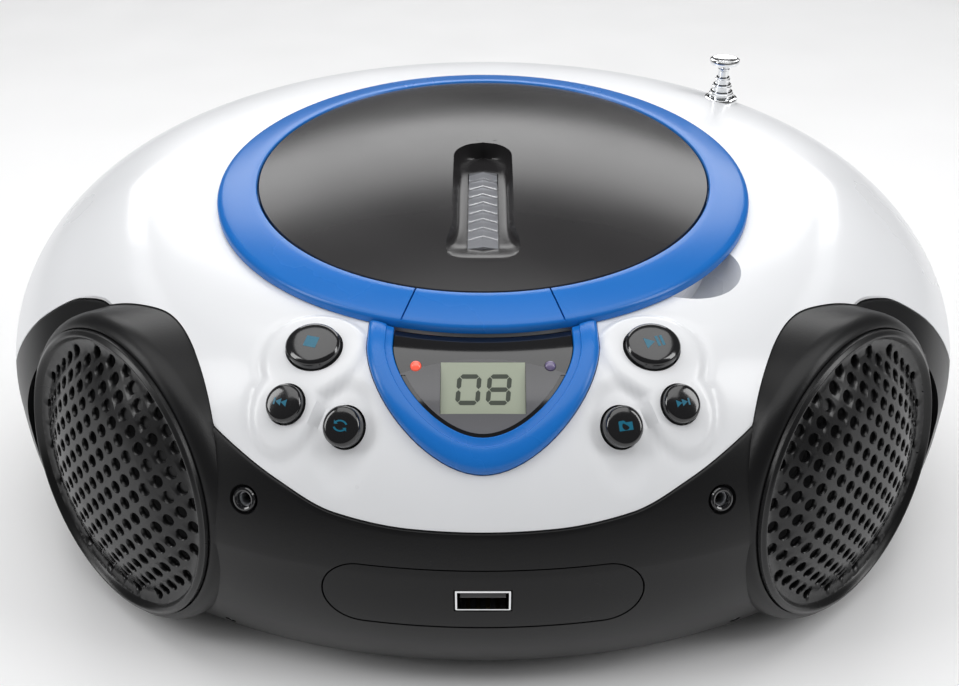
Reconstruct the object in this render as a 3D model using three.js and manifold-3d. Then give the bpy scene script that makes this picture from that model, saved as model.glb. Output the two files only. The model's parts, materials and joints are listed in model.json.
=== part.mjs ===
// Portable CD player: an oval, top-loading player with two front speakers, a radio and a USB port.
// Millimetres. +X is the player's right as seen from the front, +Y the back, +Z up.
// The origin is the middle of the footprint, on the surface that the feet stand on.
import * as THREE from 'three';
import { mergeVertices } from 'three/addons/utils/BufferGeometryUtils.js';
import Module from 'manifold-3d';

const wasm = await Module();
wasm.setup();

const DEG = Math.PI / 180;

// ---- Driving dimensions ----
// Casing
const HALF_WIDTH = 142;
const HALF_DEPTH = 118;
const WIDEST_Z = 44;
const FOOT_HEIGHT = 5;
const WALL = 2.5;
const GAP = 0.3;
// Lid rim: a circle that leans forward
const RIM_R = 76;
const RIM_Y = -7;
const RIM_Z = 94;
const LID_TILT = 5 * DEG;
// Casing cross-section exponents: front, rear and side share
const SPREAD_FRONT = 1.9;
const SPREAD_REAR = 4.2;
const SPREAD_SIDE = -0.8;
const CROWN_FRONT = 1.4;
const CROWN_REAR = 3.2;
const BOTTOM_SHRINK_X = 0.04;
const BOTTOM_SHRINK_Y = 0.10;
const BOTTOM_POWER = 3;
// Seam between the two casing halves: degrees from the front, height
const SEAM_FRONT_Z = 55;
const SEAM_REAR_Z = 45;
const EAR_TOP_ABOVE_POD = 1.5;
// Speakers
const SPEAKER_CHORD_X = 94;
const SPEAKER_CHORD_Y = -79.5;
const SPEAKER_Z = 44.5;
const SPEAKER_AZIMUTH = 49 * DEG;
const SPEAKER_LIFT = 8 * DEG;
const GRILLE_R = 38.5;
const GRILLE_DOME = 7;
const POD_WALL = 3;
const POD_DEPTH = 24;
const CONE_R = 28;
const MAGNET_R = 20;
// Lid
const LID_LEDGE = 6;
const LID_RING_WIDTH = 11.3;
const LID_RING_EDGE = 1.8;
const LID_RING_RISE = 2.6;
const LID_DOME = 8.2;
const LID_PLATE_THICK = 2;
const SCOOP_HALF = 7.7;
const SCOOP_FLARE = 10.5;
const SCOOP_LENGTH = 50;
const SCOOP_DEPTH = 5;
const WINDOW_HALF = 3.9;
const WINDOW_LENGTH = 38;
const WINDOW_START = -8.5;
const HINGE_PIN_R = 0.8;
const HINGE_DROP = 1.6;
const HINGE_HALF = 13.4;
const HINGE_WALL = 3.4;
const HINGE_SWING = 4.2;
const OPEN_ANGLE = 60 * DEG;
// Disc well and mechanism, heights measured down from the rim plane
const WELL_R = 65.5;
const WELL_DEPTH = 12;
const WELL_WALL = 2;
const HUB_R = 15;
const DISC_LEVEL = -6;
const DECK_SPACE = 9;
const DECK_PLATE = 2;
const MOTOR_R = 12;
const SLED_TRAVEL = 32;
const SLED_LENGTH = 12;
const SLED_START = 1.5;
const ROD_BLOCK = 3;
const ROD_R = 1.5;
const ROD_SPACING = 15.5;
const SCREW_R = 1.6;
const SCREW_X = 24;
const SCREW_MOTOR_R = 4;
const CLAMPER_R = 13;
// Display
const DISPLAY_Y = -97.5;
const BEZEL_HALF = 27;
const BEZEL_DROP = 18.2;
const BEZEL_SHOULDER = 12;
const LENS_HALF = 21;
const LENS_DROP = 10.3;
const BEZEL_PROUD = 1.8;
// Buttons
const BUTTON_PROUD = 3.2;
const BUTTON_TRAVEL = 0.8;
const BUTTON_FIT = 0.4;
const BUTTON_FLANGE = 1.2;
const BUTTON_LIP = 1.2;
// Front sockets
const PANEL_HALF_WIDTH = 37.5;
const PANEL_HALF_HEIGHT = 9;
const PANEL_Z = 37.1;
const PANEL_THICK = 1.4;
const USB_WIDTH = 13.1;
const USB_HEIGHT = 6.2;
const USB_DEPTH = 14.5;
const USB_WALL = 0.6;
const JACK_X = 55.4;
const JACK_Y = -105;
const JACK_R = 2.9;
const JACK_BORE_R = 1.75;
const JACK_BODY_R = 4.4;
// Battery compartment, open at the bottom: three C cells long, two wide
const BATTERY_HALF = 76;
const BATTERY_FRONT = -2;
const BATTERY_WIDE = 56;
const BATTERY_TOP = 36;
const BATTERY_WALL = 2;
const DOOR_TRAVEL = 8;
const DOOR_THICK = 1.9;
const DOOR_TONGUE = 2;
// Boards and power
const BOARD_THICK = 1.6;
const MAIN_BOARD_HALF = 40;
const MAIN_BOARD_FRONT = -108;
const MAIN_BOARD_BACK = -25;
const TUNER_BOARD_Z = 52;
const TUNER_BOARD_HALF = 58;
const TUNER_BOARD_FRONT = 48;
const TUNER_BOARD_BACK = 101;
const INLET_X = 0;
const INLET_Z = 24;
// Rear controls
const KNOB_R = 14;
const KNOB_THICK = 6;
const KNOB_PROUD = 3.5;
const KNOB_X = 52;
const SWITCH_TRAVEL = 12;
// Antenna
const ANTENNA_X = 81.5;
const ANTENNA_Y = 61.5;
const ANTENNA_R = 4;
const ANTENNA_STEP = 0.75;
const ANTENNA_WALL = 0.42;
const ANTENNA_FOOT = 16;
// Feet
const FOOT_R = 8;

// ---- Worked-out places ----
const POD_R = GRILLE_R + GAP + POD_WALL;
const LID_OPENING_R = RIM_R - LID_LEDGE;
const RING_OUTER_R = RIM_R - 0.4;
const RING_INNER_R = RING_OUTER_R - LID_RING_WIDTH;
const RING_INNER_TOP = GAP + LID_RING_EDGE + LID_RING_RISE;
const PLATE_R = RING_INNER_R - GAP;
const PLATE_EDGE_TOP = RING_INNER_TOP - 0.3;
const PLATE_TOP = PLATE_EDGE_TOP + LID_DOME;
const PLATE_BOTTOM = PLATE_EDGE_TOP - LID_PLATE_THICK;
const HINGE_V = RING_OUTER_R - 2;
const WELL_FLOOR = -WELL_DEPTH;
const WELL_UNDER = WELL_FLOOR - WELL_WALL;
const DECK_TOP = WELL_UNDER - DECK_SPACE;
const ROD_W = (WELL_UNDER + DECK_TOP) / 2;
const SLED_BACK = -HUB_R - SLED_START;
const DECK_FRONT = SLED_BACK - SLED_LENGTH - SLED_TRAVEL - ROD_BLOCK - 0.5;
const SCOOP_START = 1;
const SCOOP_FLOOR = PLATE_TOP - SCOOP_DEPTH;

// ---- Small tools ----
function finish(colour, roughness, metalness = 0) {
  return new THREE.MeshStandardMaterial({ color: colour, roughness, metalness });
}

const WHITE = finish(0xe6e8ea, 0.35);
const BLUE = finish(0x1a6cb8, 0.3);
const BLACK = finish(0x121214, 0.4);
const DARK = finish(0x26272a, 0.45);
const GLOSS = finish(0x08080a, 0.12);
const CHROME = finish(0xd4d6d8, 0.12, 1);
const STEEL = finish(0xa2a5a8, 0.35, 0.9);
const BOARD = finish(0x2f6b3c, 0.6);
const RUBBER = finish(0x1b1b1c, 0.9);
const PAPER = finish(0x1c1c1e, 0.85);
const CLEAR = finish(0xcfd6da, 0.08);
const LCD = finish(0x97a08c, 0.3);

// A closed solid from a geometry: shared corners merged, faces turned outward.
function solid(geometry, matrix = null) {
  const bare = geometry.clone();
  bare.deleteAttribute('normal');
  bare.deleteAttribute('uv');
  if (matrix) bare.applyMatrix4(matrix);
  const merged = mergeVertices(bare, 1e-4);
  const points = merged.getAttribute('position').array;
  const corners = merged.getIndex().array;
  const triangles = [];
  let volume = 0;
  for (let i = 0; i < corners.length; i += 3) {
    const [a, b, c] = [corners[i], corners[i + 1], corners[i + 2]];
    if (a === b || b === c || c === a) continue;
    triangles.push(a, b, c);
    volume += tripleProduct(points, a, b, c);
  }
  if (volume < 0) {
    for (let i = 0; i < triangles.length; i += 3) {
      [triangles[i + 1], triangles[i + 2]] = [triangles[i + 2], triangles[i + 1]];
    }
  }
  return new wasm.Manifold(new wasm.Mesh({
    numProp: 3,
    vertProperties: new Float32Array(points),
    triVerts: new Uint32Array(triangles),
  }));
}

function tripleProduct(points, a, b, c) {
  const p = new THREE.Vector3().fromArray(points, 3 * a);
  const q = new THREE.Vector3().fromArray(points, 3 * b);
  const r = new THREE.Vector3().fromArray(points, 3 * c);
  return p.dot(q.cross(r));
}

// A named mesh from a solid.
function piece(name, body, material) {
  const mesh = body.getMesh();
  const geometry = new THREE.BufferGeometry();
  geometry.setAttribute('position', new THREE.BufferAttribute(new Float32Array(mesh.vertProperties), 3));
  geometry.setIndex(new THREE.BufferAttribute(new Uint32Array(mesh.triVerts), 1));
  geometry.computeVertexNormals();
  const result = new THREE.Mesh(geometry, material);
  result.name = name;
  return result;
}

function at(x, y, z) {
  return new THREE.Matrix4().makeTranslation(x, y, z);
}

function box(x0, x1, y0, y1, z0, z1, matrix = null) {
  const geometry = new THREE.BoxGeometry(x1 - x0, y1 - y0, z1 - z0);
  geometry.translate((x0 + x1) / 2, (y0 + y1) / 2, (z0 + z1) / 2);
  return solid(geometry, matrix);
}

// Upright cylinder from z0 to z1.
function rod(radius, z0, z1, matrix = null, segments = 24) {
  const geometry = new THREE.CylinderGeometry(radius, radius, z1 - z0, segments);
  geometry.rotateX(Math.PI / 2);
  geometry.translate(0, 0, (z0 + z1) / 2);
  return solid(geometry, matrix);
}

// Cylinder along X or Y.
function crossRod(radius, from, to, axis, matrix, segments = 16) {
  const geometry = new THREE.CylinderGeometry(radius, radius, to - from, segments);
  if (axis === 'x') geometry.rotateZ(Math.PI / 2);
  const middle = (from + to) / 2;
  geometry.translate(axis === 'x' ? middle : 0, axis === 'y' ? middle : 0, 0);
  return solid(geometry, matrix);
}

// Revolved solid from a list of [radius, height] points that ends on the axis or closes on itself.
function turned(profile, segments, matrix = null) {
  const points = profile.map(([r, h]) => new THREE.Vector2(r, h));
  const geometry = new THREE.LatheGeometry(points, segments);
  geometry.rotateX(Math.PI / 2);
  return solid(geometry, matrix);
}

function ring(inner, outer, low, high, segments, matrix = null) {
  return turned([[inner, low], [outer, low], [outer, high], [inner, high], [inner, low]], segments, matrix);
}

function prism(shape, z0, z1, matrix = null, curveSegments = 12) {
  const geometry = new THREE.ExtrudeGeometry(shape, { depth: z1 - z0, bevelEnabled: false, curveSegments });
  geometry.translate(0, 0, z0);
  return solid(geometry, matrix);
}

function ovalShape(halfWidth, halfHeight) {
  const shape = new THREE.Shape();
  shape.absellipse(0, 0, halfWidth, halfHeight, 0, 2 * Math.PI, false, 0);
  return shape;
}

function stadiumShape(halfWidth, halfHeight) {
  const straight = halfWidth - halfHeight;
  const shape = new THREE.Shape();
  shape.moveTo(-straight, -halfHeight);
  shape.lineTo(straight, -halfHeight);
  shape.absarc(straight, 0, halfHeight, -Math.PI / 2, Math.PI / 2, false);
  shape.lineTo(-straight, halfHeight);
  shape.absarc(-straight, 0, halfHeight, Math.PI / 2, 1.5 * Math.PI, false);
  return shape;
}

// A frame whose Z axis is the given outward direction and whose X axis is level.
function facing(origin, normal) {
  const z = normal.clone().normalize();
  const x = new THREE.Vector3(0, 0, 1).cross(z).normalize();
  const y = z.clone().cross(x);
  return new THREE.Matrix4().makeBasis(x, y, z).setPosition(origin);
}

// ---- Casing surface ----
const LID = new THREE.Matrix4().makeRotationX(LID_TILT).setPosition(0, RIM_Y, RIM_Z);

function rimPoint(angle, inset) {
  return new THREE.Vector3(RIM_R * Math.cos(angle), RIM_R * Math.sin(angle), -inset).applyMatrix4(LID);
}

// Upper casing: t runs from 0 at the lid rim to 1 at the widest outline.
function topPoint(angle, t, inset = 0) {
  const rim = rimPoint(angle, inset);
  const back = (1 + Math.sin(angle)) / 2;
  const side = Math.cos(angle) ** 2;
  const spread = SPREAD_FRONT * (1 - back) + SPREAD_REAR * back + SPREAD_SIDE * side;
  const crown = CROWN_FRONT * (1 - back) + CROWN_REAR * back;
  const outward = Math.sin(t * Math.PI / 2) ** (2 / spread);
  const upward = Math.max(Math.cos(t * Math.PI / 2), 0) ** (2 / crown);
  const widestX = (HALF_WIDTH - inset) * Math.cos(angle);
  const widestY = (HALF_DEPTH - inset) * Math.sin(angle);
  return new THREE.Vector3(
    rim.x + (widestX - rim.x) * outward,
    rim.y + (widestY - rim.y) * outward,
    WIDEST_Z + (rim.z - WIDEST_Z) * upward,
  );
}

// Lower casing: s runs from 0 at the widest outline to 1 at the bottom.
function lowPoint(angle, s, inset = 0) {
  const x = (HALF_WIDTH - inset) * Math.cos(angle) * (1 - BOTTOM_SHRINK_X * s ** BOTTOM_POWER);
  const y = (HALF_DEPTH - inset) * Math.sin(angle) * (1 - BOTTOM_SHRINK_Y * s ** BOTTOM_POWER);
  const bottom = FOOT_HEIGHT + inset;
  return new THREE.Vector3(x, y, WIDEST_Z + (bottom - WIDEST_Z) * s);
}

// The casing as one closed solid, moved inward by inset.
function casing(inset) {
  const around = 36;
  const topRows = [0, 0.16, 0.34, 0.5, 0.66, 0.82, 1];
  const lowRows = [0.55, 1];
  const rows = [
    ...topRows.map((t) => (angle) => topPoint(angle, t, inset)),
    ...lowRows.map((s) => (angle) => lowPoint(angle, s, inset)),
  ];
  const positions = [];
  for (const row of rows) {
    for (let i = 0; i < around; i++) positions.push(...row(2 * Math.PI * i / around).toArray());
  }
  const index = stitchRows(rows.length, around);
  capRow(positions, index, 0, around, false);
  capRow(positions, index, (rows.length - 1) * around, around, true);
  return solid(indexed(positions, index));
}

function stitchRows(count, around) {
  const index = [];
  for (let row = 0; row < count - 1; row++) {
    for (let i = 0; i < around; i++) {
      const a = row * around + i;
      const b = row * around + (i + 1) % around;
      index.push(a, a + around, b + around, a, b + around, b);
    }
  }
  return index;
}

function capRow(positions, index, first, around, last) {
  const middle = positions.length / 3;
  const centre = new THREE.Vector3();
  for (let i = 0; i < around; i++) centre.add(new THREE.Vector3().fromArray(positions, 3 * (first + i)));
  positions.push(...centre.divideScalar(around).toArray());
  for (let i = 0; i < around; i++) {
    const a = first + i;
    const b = first + (i + 1) % around;
    index.push(...(last ? [middle, b, a] : [middle, a, b]));
  }
}

function indexed(positions, index) {
  const geometry = new THREE.BufferGeometry();
  geometry.setAttribute('position', new THREE.BufferAttribute(new Float32Array(positions), 3));
  geometry.setIndex(index);
  return geometry;
}

// Point and outward normal of the upper casing above a place in plan.
function surfaceAt(x, y) {
  let angle = Math.atan2((y - RIM_Y) / HALF_DEPTH, x / HALF_WIDTH);
  let t = 0.5;
  const step = 1e-4;
  for (let i = 0; i < 30; i++) {
    const p = topPoint(angle, t);
    const pa = topPoint(angle + step, t).sub(p).divideScalar(step);
    const pt = topPoint(angle, t + step).sub(p).divideScalar(step);
    const det = pa.x * pt.y - pa.y * pt.x;
    const dx = x - p.x;
    const dy = y - p.y;
    angle += 0.7 * (dx * pt.y - dy * pt.x) / det;
    t = THREE.MathUtils.clamp(t + 0.7 * (dy * pa.x - dx * pa.y) / det, 0.01, 0.99);
  }
  const point = topPoint(angle, t);
  const alongAngle = topPoint(angle + step, t).sub(point);
  const alongT = topPoint(angle, t + step).sub(point);
  const normal = alongT.cross(alongAngle).normalize();
  if (normal.z < 0) normal.negate();
  return { point, normal };
}

// Point and level outward normal of the casing's side wall at a height, for a given X.
function wallAt(x, z, sign) {
  const s = Math.max((WIDEST_Z - z) / (WIDEST_Z - FOOT_HEIGHT), 0);
  const halfX = HALF_WIDTH * (1 - BOTTOM_SHRINK_X * s ** BOTTOM_POWER);
  const halfY = HALF_DEPTH * (1 - BOTTOM_SHRINK_Y * s ** BOTTOM_POWER);
  const y = sign * halfY * Math.sqrt(1 - (x / halfX) ** 2);
  const normal = new THREE.Vector3(x / halfX ** 2, y / halfY ** 2, 0).normalize();
  return { point: new THREE.Vector3(x, y, z), normal };
}

// ---- Speaker frames ----
function speakerFrame(side) {
  const level = Math.cos(SPEAKER_LIFT);
  const normal = new THREE.Vector3(
    side * level * Math.cos(SPEAKER_AZIMUTH),
    -level * Math.sin(SPEAKER_AZIMUTH),
    Math.sin(SPEAKER_LIFT),
  );
  return facing(new THREE.Vector3(side * SPEAKER_CHORD_X, SPEAKER_CHORD_Y, SPEAKER_Z), normal);
}

// ---- Seam ----
// Everything below the seam, as a solid that is larger than the casing.
function belowSeam(shift) {
  const earTop = SPEAKER_Z + POD_R * Math.cos(SPEAKER_LIFT) - EAR_TOP_ABOVE_POD;
  const sideDrop = (earTop - SEAM_REAR_Z) * 0.55;
  const half = new THREE.SplineCurve([
    [0, SEAM_FRONT_Z], [8, SEAM_FRONT_Z + 0.3], [17, SEAM_FRONT_Z + 2.3], [24, SEAM_FRONT_Z + 7],
    [32, SEAM_FRONT_Z + 13], [38, SEAM_FRONT_Z + 17.2], [48, earTop - 4.5], [57, earTop - 0.8], [63, earTop],
    [68, earTop - 4], [72, earTop - sideDrop * 0.75], [76, SEAM_REAR_Z + 6], [84, SEAM_REAR_Z + 1],
    [95, SEAM_REAR_Z], [140, SEAM_REAR_Z], [180, SEAM_REAR_Z],
  ].map(([degrees, z]) => new THREE.Vector2(degrees, z))).getPoints(24);
  const round = [...half.slice(0, -1), ...half.slice(1).reverse().map((p) => new THREE.Vector2(360 - p.x, p.y))];
  const reach = 2 * HALF_WIDTH;
  const positions = [];
  for (const [radius, floor] of [[12, false], [reach, false], [reach, true]]) {
    for (const p of round) {
      const azimuth = (p.x - 90) * DEG;
      positions.push(radius * Math.cos(azimuth), radius * Math.sin(azimuth), floor ? -FOOT_HEIGHT : p.y + shift);
    }
  }
  const index = stitchRows(3, round.length);
  capRow(positions, index, 0, round.length, false);
  capRow(positions, index, 2 * round.length, round.length, true);
  return solid(indexed(positions, index));
}

// ---- Display outlines, in the display frame ----
const displayTop = surfaceAt(0, DISPLAY_Y + 11).point;
const displayBottom = surfaceAt(0, DISPLAY_Y - 12).point;
const displaySlope = Math.atan2(displayTop.z - displayBottom.z, displayTop.y - displayBottom.y);
const DISPLAY = new THREE.Matrix4().makeRotationX(displaySlope).setPosition(surfaceAt(0, DISPLAY_Y).point);

function shieldShape(half, drop, shoulder, top) {
  const shape = new THREE.Shape();
  shape.moveTo(-half, top);
  shape.lineTo(-half, shoulder);
  shape.bezierCurveTo(-half * 0.96, shoulder - (shoulder + drop) * 0.46, -half * 0.45, -drop, 0, -drop);
  shape.bezierCurveTo(half * 0.45, -drop, half * 0.96, shoulder - (shoulder + drop) * 0.46, half, shoulder);
  shape.lineTo(half, top);
  return shape;
}

const BEZEL_TOP = 30;

function bezelPrism(grow) {
  return prism(shieldShape(BEZEL_HALF + grow, BEZEL_DROP + grow, BEZEL_SHOULDER, BEZEL_TOP), -20, 20, DISPLAY, 6);
}

function lensPrism(grow) {
  return prism(shieldShape(LENS_HALF + grow, LENS_DROP + grow, BEZEL_SHOULDER, BEZEL_TOP), -20, 20, DISPLAY, 6);
}

// An upright column around the lid's axis, to trim pieces that end at the lid.
function lidColumn(radius) {
  return rod(radius, -30, 30, LID, 36);
}

// ---- Buttons: name, place in plan, half width, half height ----
const BUTTONS = [
  ['stop_button', -39.3, -84.8, 6.6, 5.8],
  ['previous_button', -45, -95.1, 4.4, 4.5],
  ['program_button', -31.4, -100.9, 4.4, 4.7],
  ['play_button', 39.3, -84.8, 6.6, 5.8],
  ['next_button', 45, -95.1, 4.4, 4.5],
  ['folder_button', 31.4, -100.9, 4.4, 4.7],
];

function buttonFrame(x, y) {
  const { point, normal } = surfaceAt(x, y);
  return facing(point, normal);
}

function button([name, x, y, halfWidth, halfHeight]) {
  const frame = buttonFrame(x, y);
  const round = 0.9;
  const under = -WALL - 1.1;
  const cap = new THREE.ExtrudeGeometry(ovalShape(halfWidth - round, halfHeight - round), {
    depth: BUTTON_PROUD - under - round,
    bevelThickness: round,
    bevelSize: round,
    bevelSegments: 1,
    curveSegments: 6,
  });
  cap.translate(0, 0, under);
  const flange = prism(ovalShape(halfWidth + BUTTON_LIP, halfHeight + BUTTON_LIP), under - BUTTON_FLANGE, under, frame, 6);
  const stem = rod(1.5, under - BUTTON_FLANGE - 2, under, frame, 8);
  return piece(name, solid(cap, frame).add(flange).add(stem), GLOSS);
}

// ---- Casing halves ----
const outer = casing(0);
const hollow = outer.subtract(casing(WALL));

function speakerCut(side, radius, low, high) {
  return rod(radius, low, high, speakerFrame(side), 20);
}

function batteryBox() {
  const back = BATTERY_FRONT + BATTERY_WIDE;
  const slabHalf = BATTERY_HALF + DOOR_TONGUE + 4;
  const walls = box(
    -BATTERY_HALF - BATTERY_WALL, BATTERY_HALF + BATTERY_WALL,
    BATTERY_FRONT - BATTERY_WALL, back + BATTERY_WALL, FOOT_HEIGHT, BATTERY_TOP + BATTERY_WALL,
  );
  const slab = box(-slabHalf, slabHalf, BATTERY_FRONT - 6, back + DOOR_TRAVEL + 7, FOOT_HEIGHT, FOOT_HEIGHT + 4.5);
  return walls.add(slab);
}

function batteryHollow() {
  const back = BATTERY_FRONT + BATTERY_WIDE;
  const front = BATTERY_FRONT - 2 - GAP;
  const end = back + 4 + DOOR_TRAVEL + GAP;
  const lip = FOOT_HEIGHT + 0.9;
  const top = FOOT_HEIGHT + DOOR_THICK + 2 * GAP;
  const inside = box(-BATTERY_HALF, BATTERY_HALF, BATTERY_FRONT, back, 0, BATTERY_TOP);
  const plate = box(-BATTERY_HALF - GAP, BATTERY_HALF + GAP, front, end, 0, top);
  const rails = box(-BATTERY_HALF - DOOR_TONGUE - GAP, BATTERY_HALF + DOOR_TONGUE + GAP, front, end, lip, top);
  return inside.add(plate).add(rails);
}

function batteryDoor() {
  const front = BATTERY_FRONT - 2;
  const back = BATTERY_FRONT + BATTERY_WIDE + 4;
  const bottom = FOOT_HEIGHT + GAP;
  const top = FOOT_HEIGHT + GAP + DOOR_THICK;
  const plate = box(-BATTERY_HALF, BATTERY_HALF, front, back, bottom, top);
  const tongues = box(-BATTERY_HALF - DOOR_TONGUE, BATTERY_HALF + DOOR_TONGUE, front, back, bottom + 0.9, top);
  const grip = box(-10, 10, back - 12, back - 9, bottom - 1, bottom + 0.6);
  return piece('battery_door', plate.add(tongues).subtract(grip), BLACK);
}

const mainBoardZ = PANEL_Z - USB_HEIGHT / 2 - GAP - BOARD_THICK;
const mainBosses = [-1, 1].flatMap((sx) => [MAIN_BOARD_FRONT + 14, MAIN_BOARD_BACK - 5].map(
  (y) => [sx * (MAIN_BOARD_HALF - 5), y],
));
const tunerBosses = [-45, 45].map((x) => [x, TUNER_BOARD_FRONT + 5]);

function panelPrism(grow) {
  const upright = new THREE.Matrix4().makeRotationX(Math.PI / 2).setPosition(0, 0, PANEL_Z);
  return prism(stadiumShape(PANEL_HALF_WIDTH + grow, PANEL_HALF_HEIGHT + grow), 80, HALF_DEPTH + 5, upright, 8);
}

function jackFrame(side) {
  const { point, normal } = surfaceAt(side * JACK_X, JACK_Y);
  return facing(point, normal);
}

const inlet = wallAt(INLET_X, INLET_Z, 1);
const INLET = facing(inlet.point, inlet.normal);

function baseShell() {
  let body = hollow.intersect(belowSeam(-GAP / 2));
  const aboveFeet = box(-HALF_WIDTH, HALF_WIDTH, -HALF_DEPTH, HALF_DEPTH, FOOT_HEIGHT, RIM_Z);
  for (const side of [-1, 1]) body = body.add(speakerCut(side, POD_R, -POD_DEPTH, 0).intersect(aboveFeet));
  body = body.add(batteryBox());
  for (const [x, y] of mainBosses) body = body.add(rod(3, FOOT_HEIGHT + 1, mainBoardZ - GAP, at(x, y, 0), 12));
  for (const [x, y] of tunerBosses) body = body.add(rod(3, BATTERY_TOP + 1, TUNER_BOARD_Z - GAP, at(x, y, 0), 12));
  body = body.add(rod(6, FOOT_HEIGHT + 1, ANTENNA_FOOT - GAP, at(ANTENNA_X, ANTENNA_Y, 0), 16));
  for (const side of [-1, 1]) {
    body = body.subtract(speakerCut(side, GRILLE_R + GAP, -3, 40));
    body = body.subtract(speakerCut(side, CONE_R + 2, -POD_DEPTH - 5, 0));
    body = body.subtract(speakerCut(side, CONE_R + 6, -POD_DEPTH - 5, -6));
    body = body.subtract(rod(JACK_R + GAP, -8, 5, jackFrame(side), 16));
    body = body.subtract(rod(JACK_BODY_R + GAP, -14, -WALL - 0.5, jackFrame(side), 16));
  }
  body = body.subtract(batteryHollow());
  body = body.subtract(casing(-1).subtract(casing(PANEL_THICK + GAP)).intersect(panelPrism(GAP)));
  body = body.subtract(usbHole());
  body = body.subtract(prism(stadiumShape(11 + GAP, 6 + GAP), -8, 5, INLET, 6));
  return piece('base_shell', body, BLACK);
}

function usbHole() {
  const halfWidth = USB_WIDTH / 2 + GAP;
  const halfHeight = USB_HEIGHT / 2 + GAP;
  return box(-halfWidth, halfWidth, -HALF_DEPTH - 2, -HALF_DEPTH + 8, PANEL_Z - halfHeight, PANEL_Z + halfHeight);
}

function recessBall(radius) {
  const angle = -41.5 * DEG;
  const reach = RIM_R - 7;
  const geometry = new THREE.SphereGeometry(radius, 12, 8);
  const centre = at(reach * Math.cos(angle), reach * Math.sin(angle), 4);
  return solid(geometry, LID.clone().multiply(centre));
}

function hingeBlock() {
  const half = HINGE_HALF + HINGE_WALL;
  return box(-half, half, LID_OPENING_R - 2, RIM_R + 5, -8, -1, LID).intersect(outer);
}

function hingePocket() {
  return box(-HINGE_HALF, HINGE_HALF, LID_OPENING_R - 4, HINGE_V + HINGE_SWING + GAP, -6, 4, LID);
}

function rearKnobFrame(side) {
  const { point, normal } = wallAt(side * KNOB_X, WIDEST_Z, 1);
  const centre = point.addScaledVector(normal, KNOB_PROUD - KNOB_R);
  return at(centre.x, centre.y, TUNER_BOARD_Z + BOARD_THICK + 8.5 + 2 * GAP);
}

const SWITCH_Z = TUNER_BOARD_Z + BOARD_THICK + GAP + 4;

function topShell() {
  let body = hollow.subtract(belowSeam(GAP / 2));
  const pocketWall = recessBall(17).subtract(lidColumn(WELL_R + WELL_WALL + 2 + GAP)).intersect(outer);
  body = body.add(pocketWall.subtract(belowSeam(GAP / 2))).add(hingeBlock());
  for (const side of [-1, 1]) {
    body = body.subtract(speakerCut(side, POD_R + GAP, -POD_DEPTH - GAP, 40));
    body = body.subtract(rod(KNOB_R + 0.8, -0.6, KNOB_THICK + 0.6, rearKnobFrame(side), 24));
  }
  body = body.subtract(rod(LID_OPENING_R, -6, 3, LID, 36)).subtract(hingePocket());
  body = body.subtract(crossRod(HINGE_PIN_R + GAP, -HINGE_HALF - HINGE_WALL - 2, HINGE_HALF + HINGE_WALL + 2, 'x',
    LID.clone().multiply(at(0, HINGE_V, -HINGE_DROP)), 12));
  body = body.subtract(recessBall(15).subtract(lidColumn(LID_OPENING_R + 0.5)));
  body = body.subtract(bezelPrism(GAP).subtract(lidColumn(RIM_R - 1)));
  for (const [, x, y, halfWidth, halfHeight] of BUTTONS) {
    const hole = ovalShape(halfWidth + BUTTON_FIT, halfHeight + BUTTON_FIT);
    body = body.subtract(prism(hole, -6, 4, buttonFrame(x, y), 6));
    const room = ovalShape(halfWidth + BUTTON_LIP + GAP, halfHeight + BUTTON_LIP + GAP);
    body = body.subtract(prism(room, -8, -WALL - 0.7, buttonFrame(x, y), 6));
  }
  body = body.subtract(rod(5.2, RIM_Z - 20, RIM_Z + 20, at(ANTENNA_X, ANTENNA_Y, 0), 20));
  const slotHalf = SWITCH_TRAVEL / 2 + 4.3;
  body = body.subtract(box(-slotHalf, slotHalf, HALF_DEPTH - 8, HALF_DEPTH + 2, SWITCH_Z - 1.9, SWITCH_Z + 1.9));
  return piece('top_shell', body, WHITE);
}

// ---- Disc well and lid ----
function discWell() {
  const brim = LID_OPENING_R - GAP;
  const wallOuter = WELL_R + WELL_WALL;
  let body = turned([
    [HUB_R + 2.5, WELL_UNDER], [wallOuter, WELL_UNDER], [wallOuter, -WALL - 2.6], [LID_OPENING_R + 2, -WALL - 2.6],
    [LID_OPENING_R + 2, -WALL - 0.8], [brim, -WALL - 0.8], [brim, -0.6], [WELL_R + 0.8, -0.6],
    [WELL_R, WELL_FLOOR], [HUB_R + 2.5, WELL_FLOOR], [HUB_R + 2.5, WELL_UNDER],
  ], 36, LID);
  body = body.subtract(box(-13, 13, DECK_FRONT + 3, -HUB_R, WELL_UNDER - 1, WELL_FLOOR + 1, LID));
  const hingeRoom = HINGE_HALF + HINGE_WALL + GAP;
  body = body.subtract(box(-hingeRoom, hingeRoom, LID_OPENING_R - 2 - GAP, RIM_R, -8 - GAP, 2, LID));
  body = body.subtract(box(-HINGE_HALF, HINGE_HALF, LID_OPENING_R - 4, RIM_R, -6, 2, LID));
  body = body.subtract(recessBall(17 + GAP).subtract(lidColumn(WELL_R + WELL_WALL)));
  return piece('disc_well', body, DARK);
}

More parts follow.
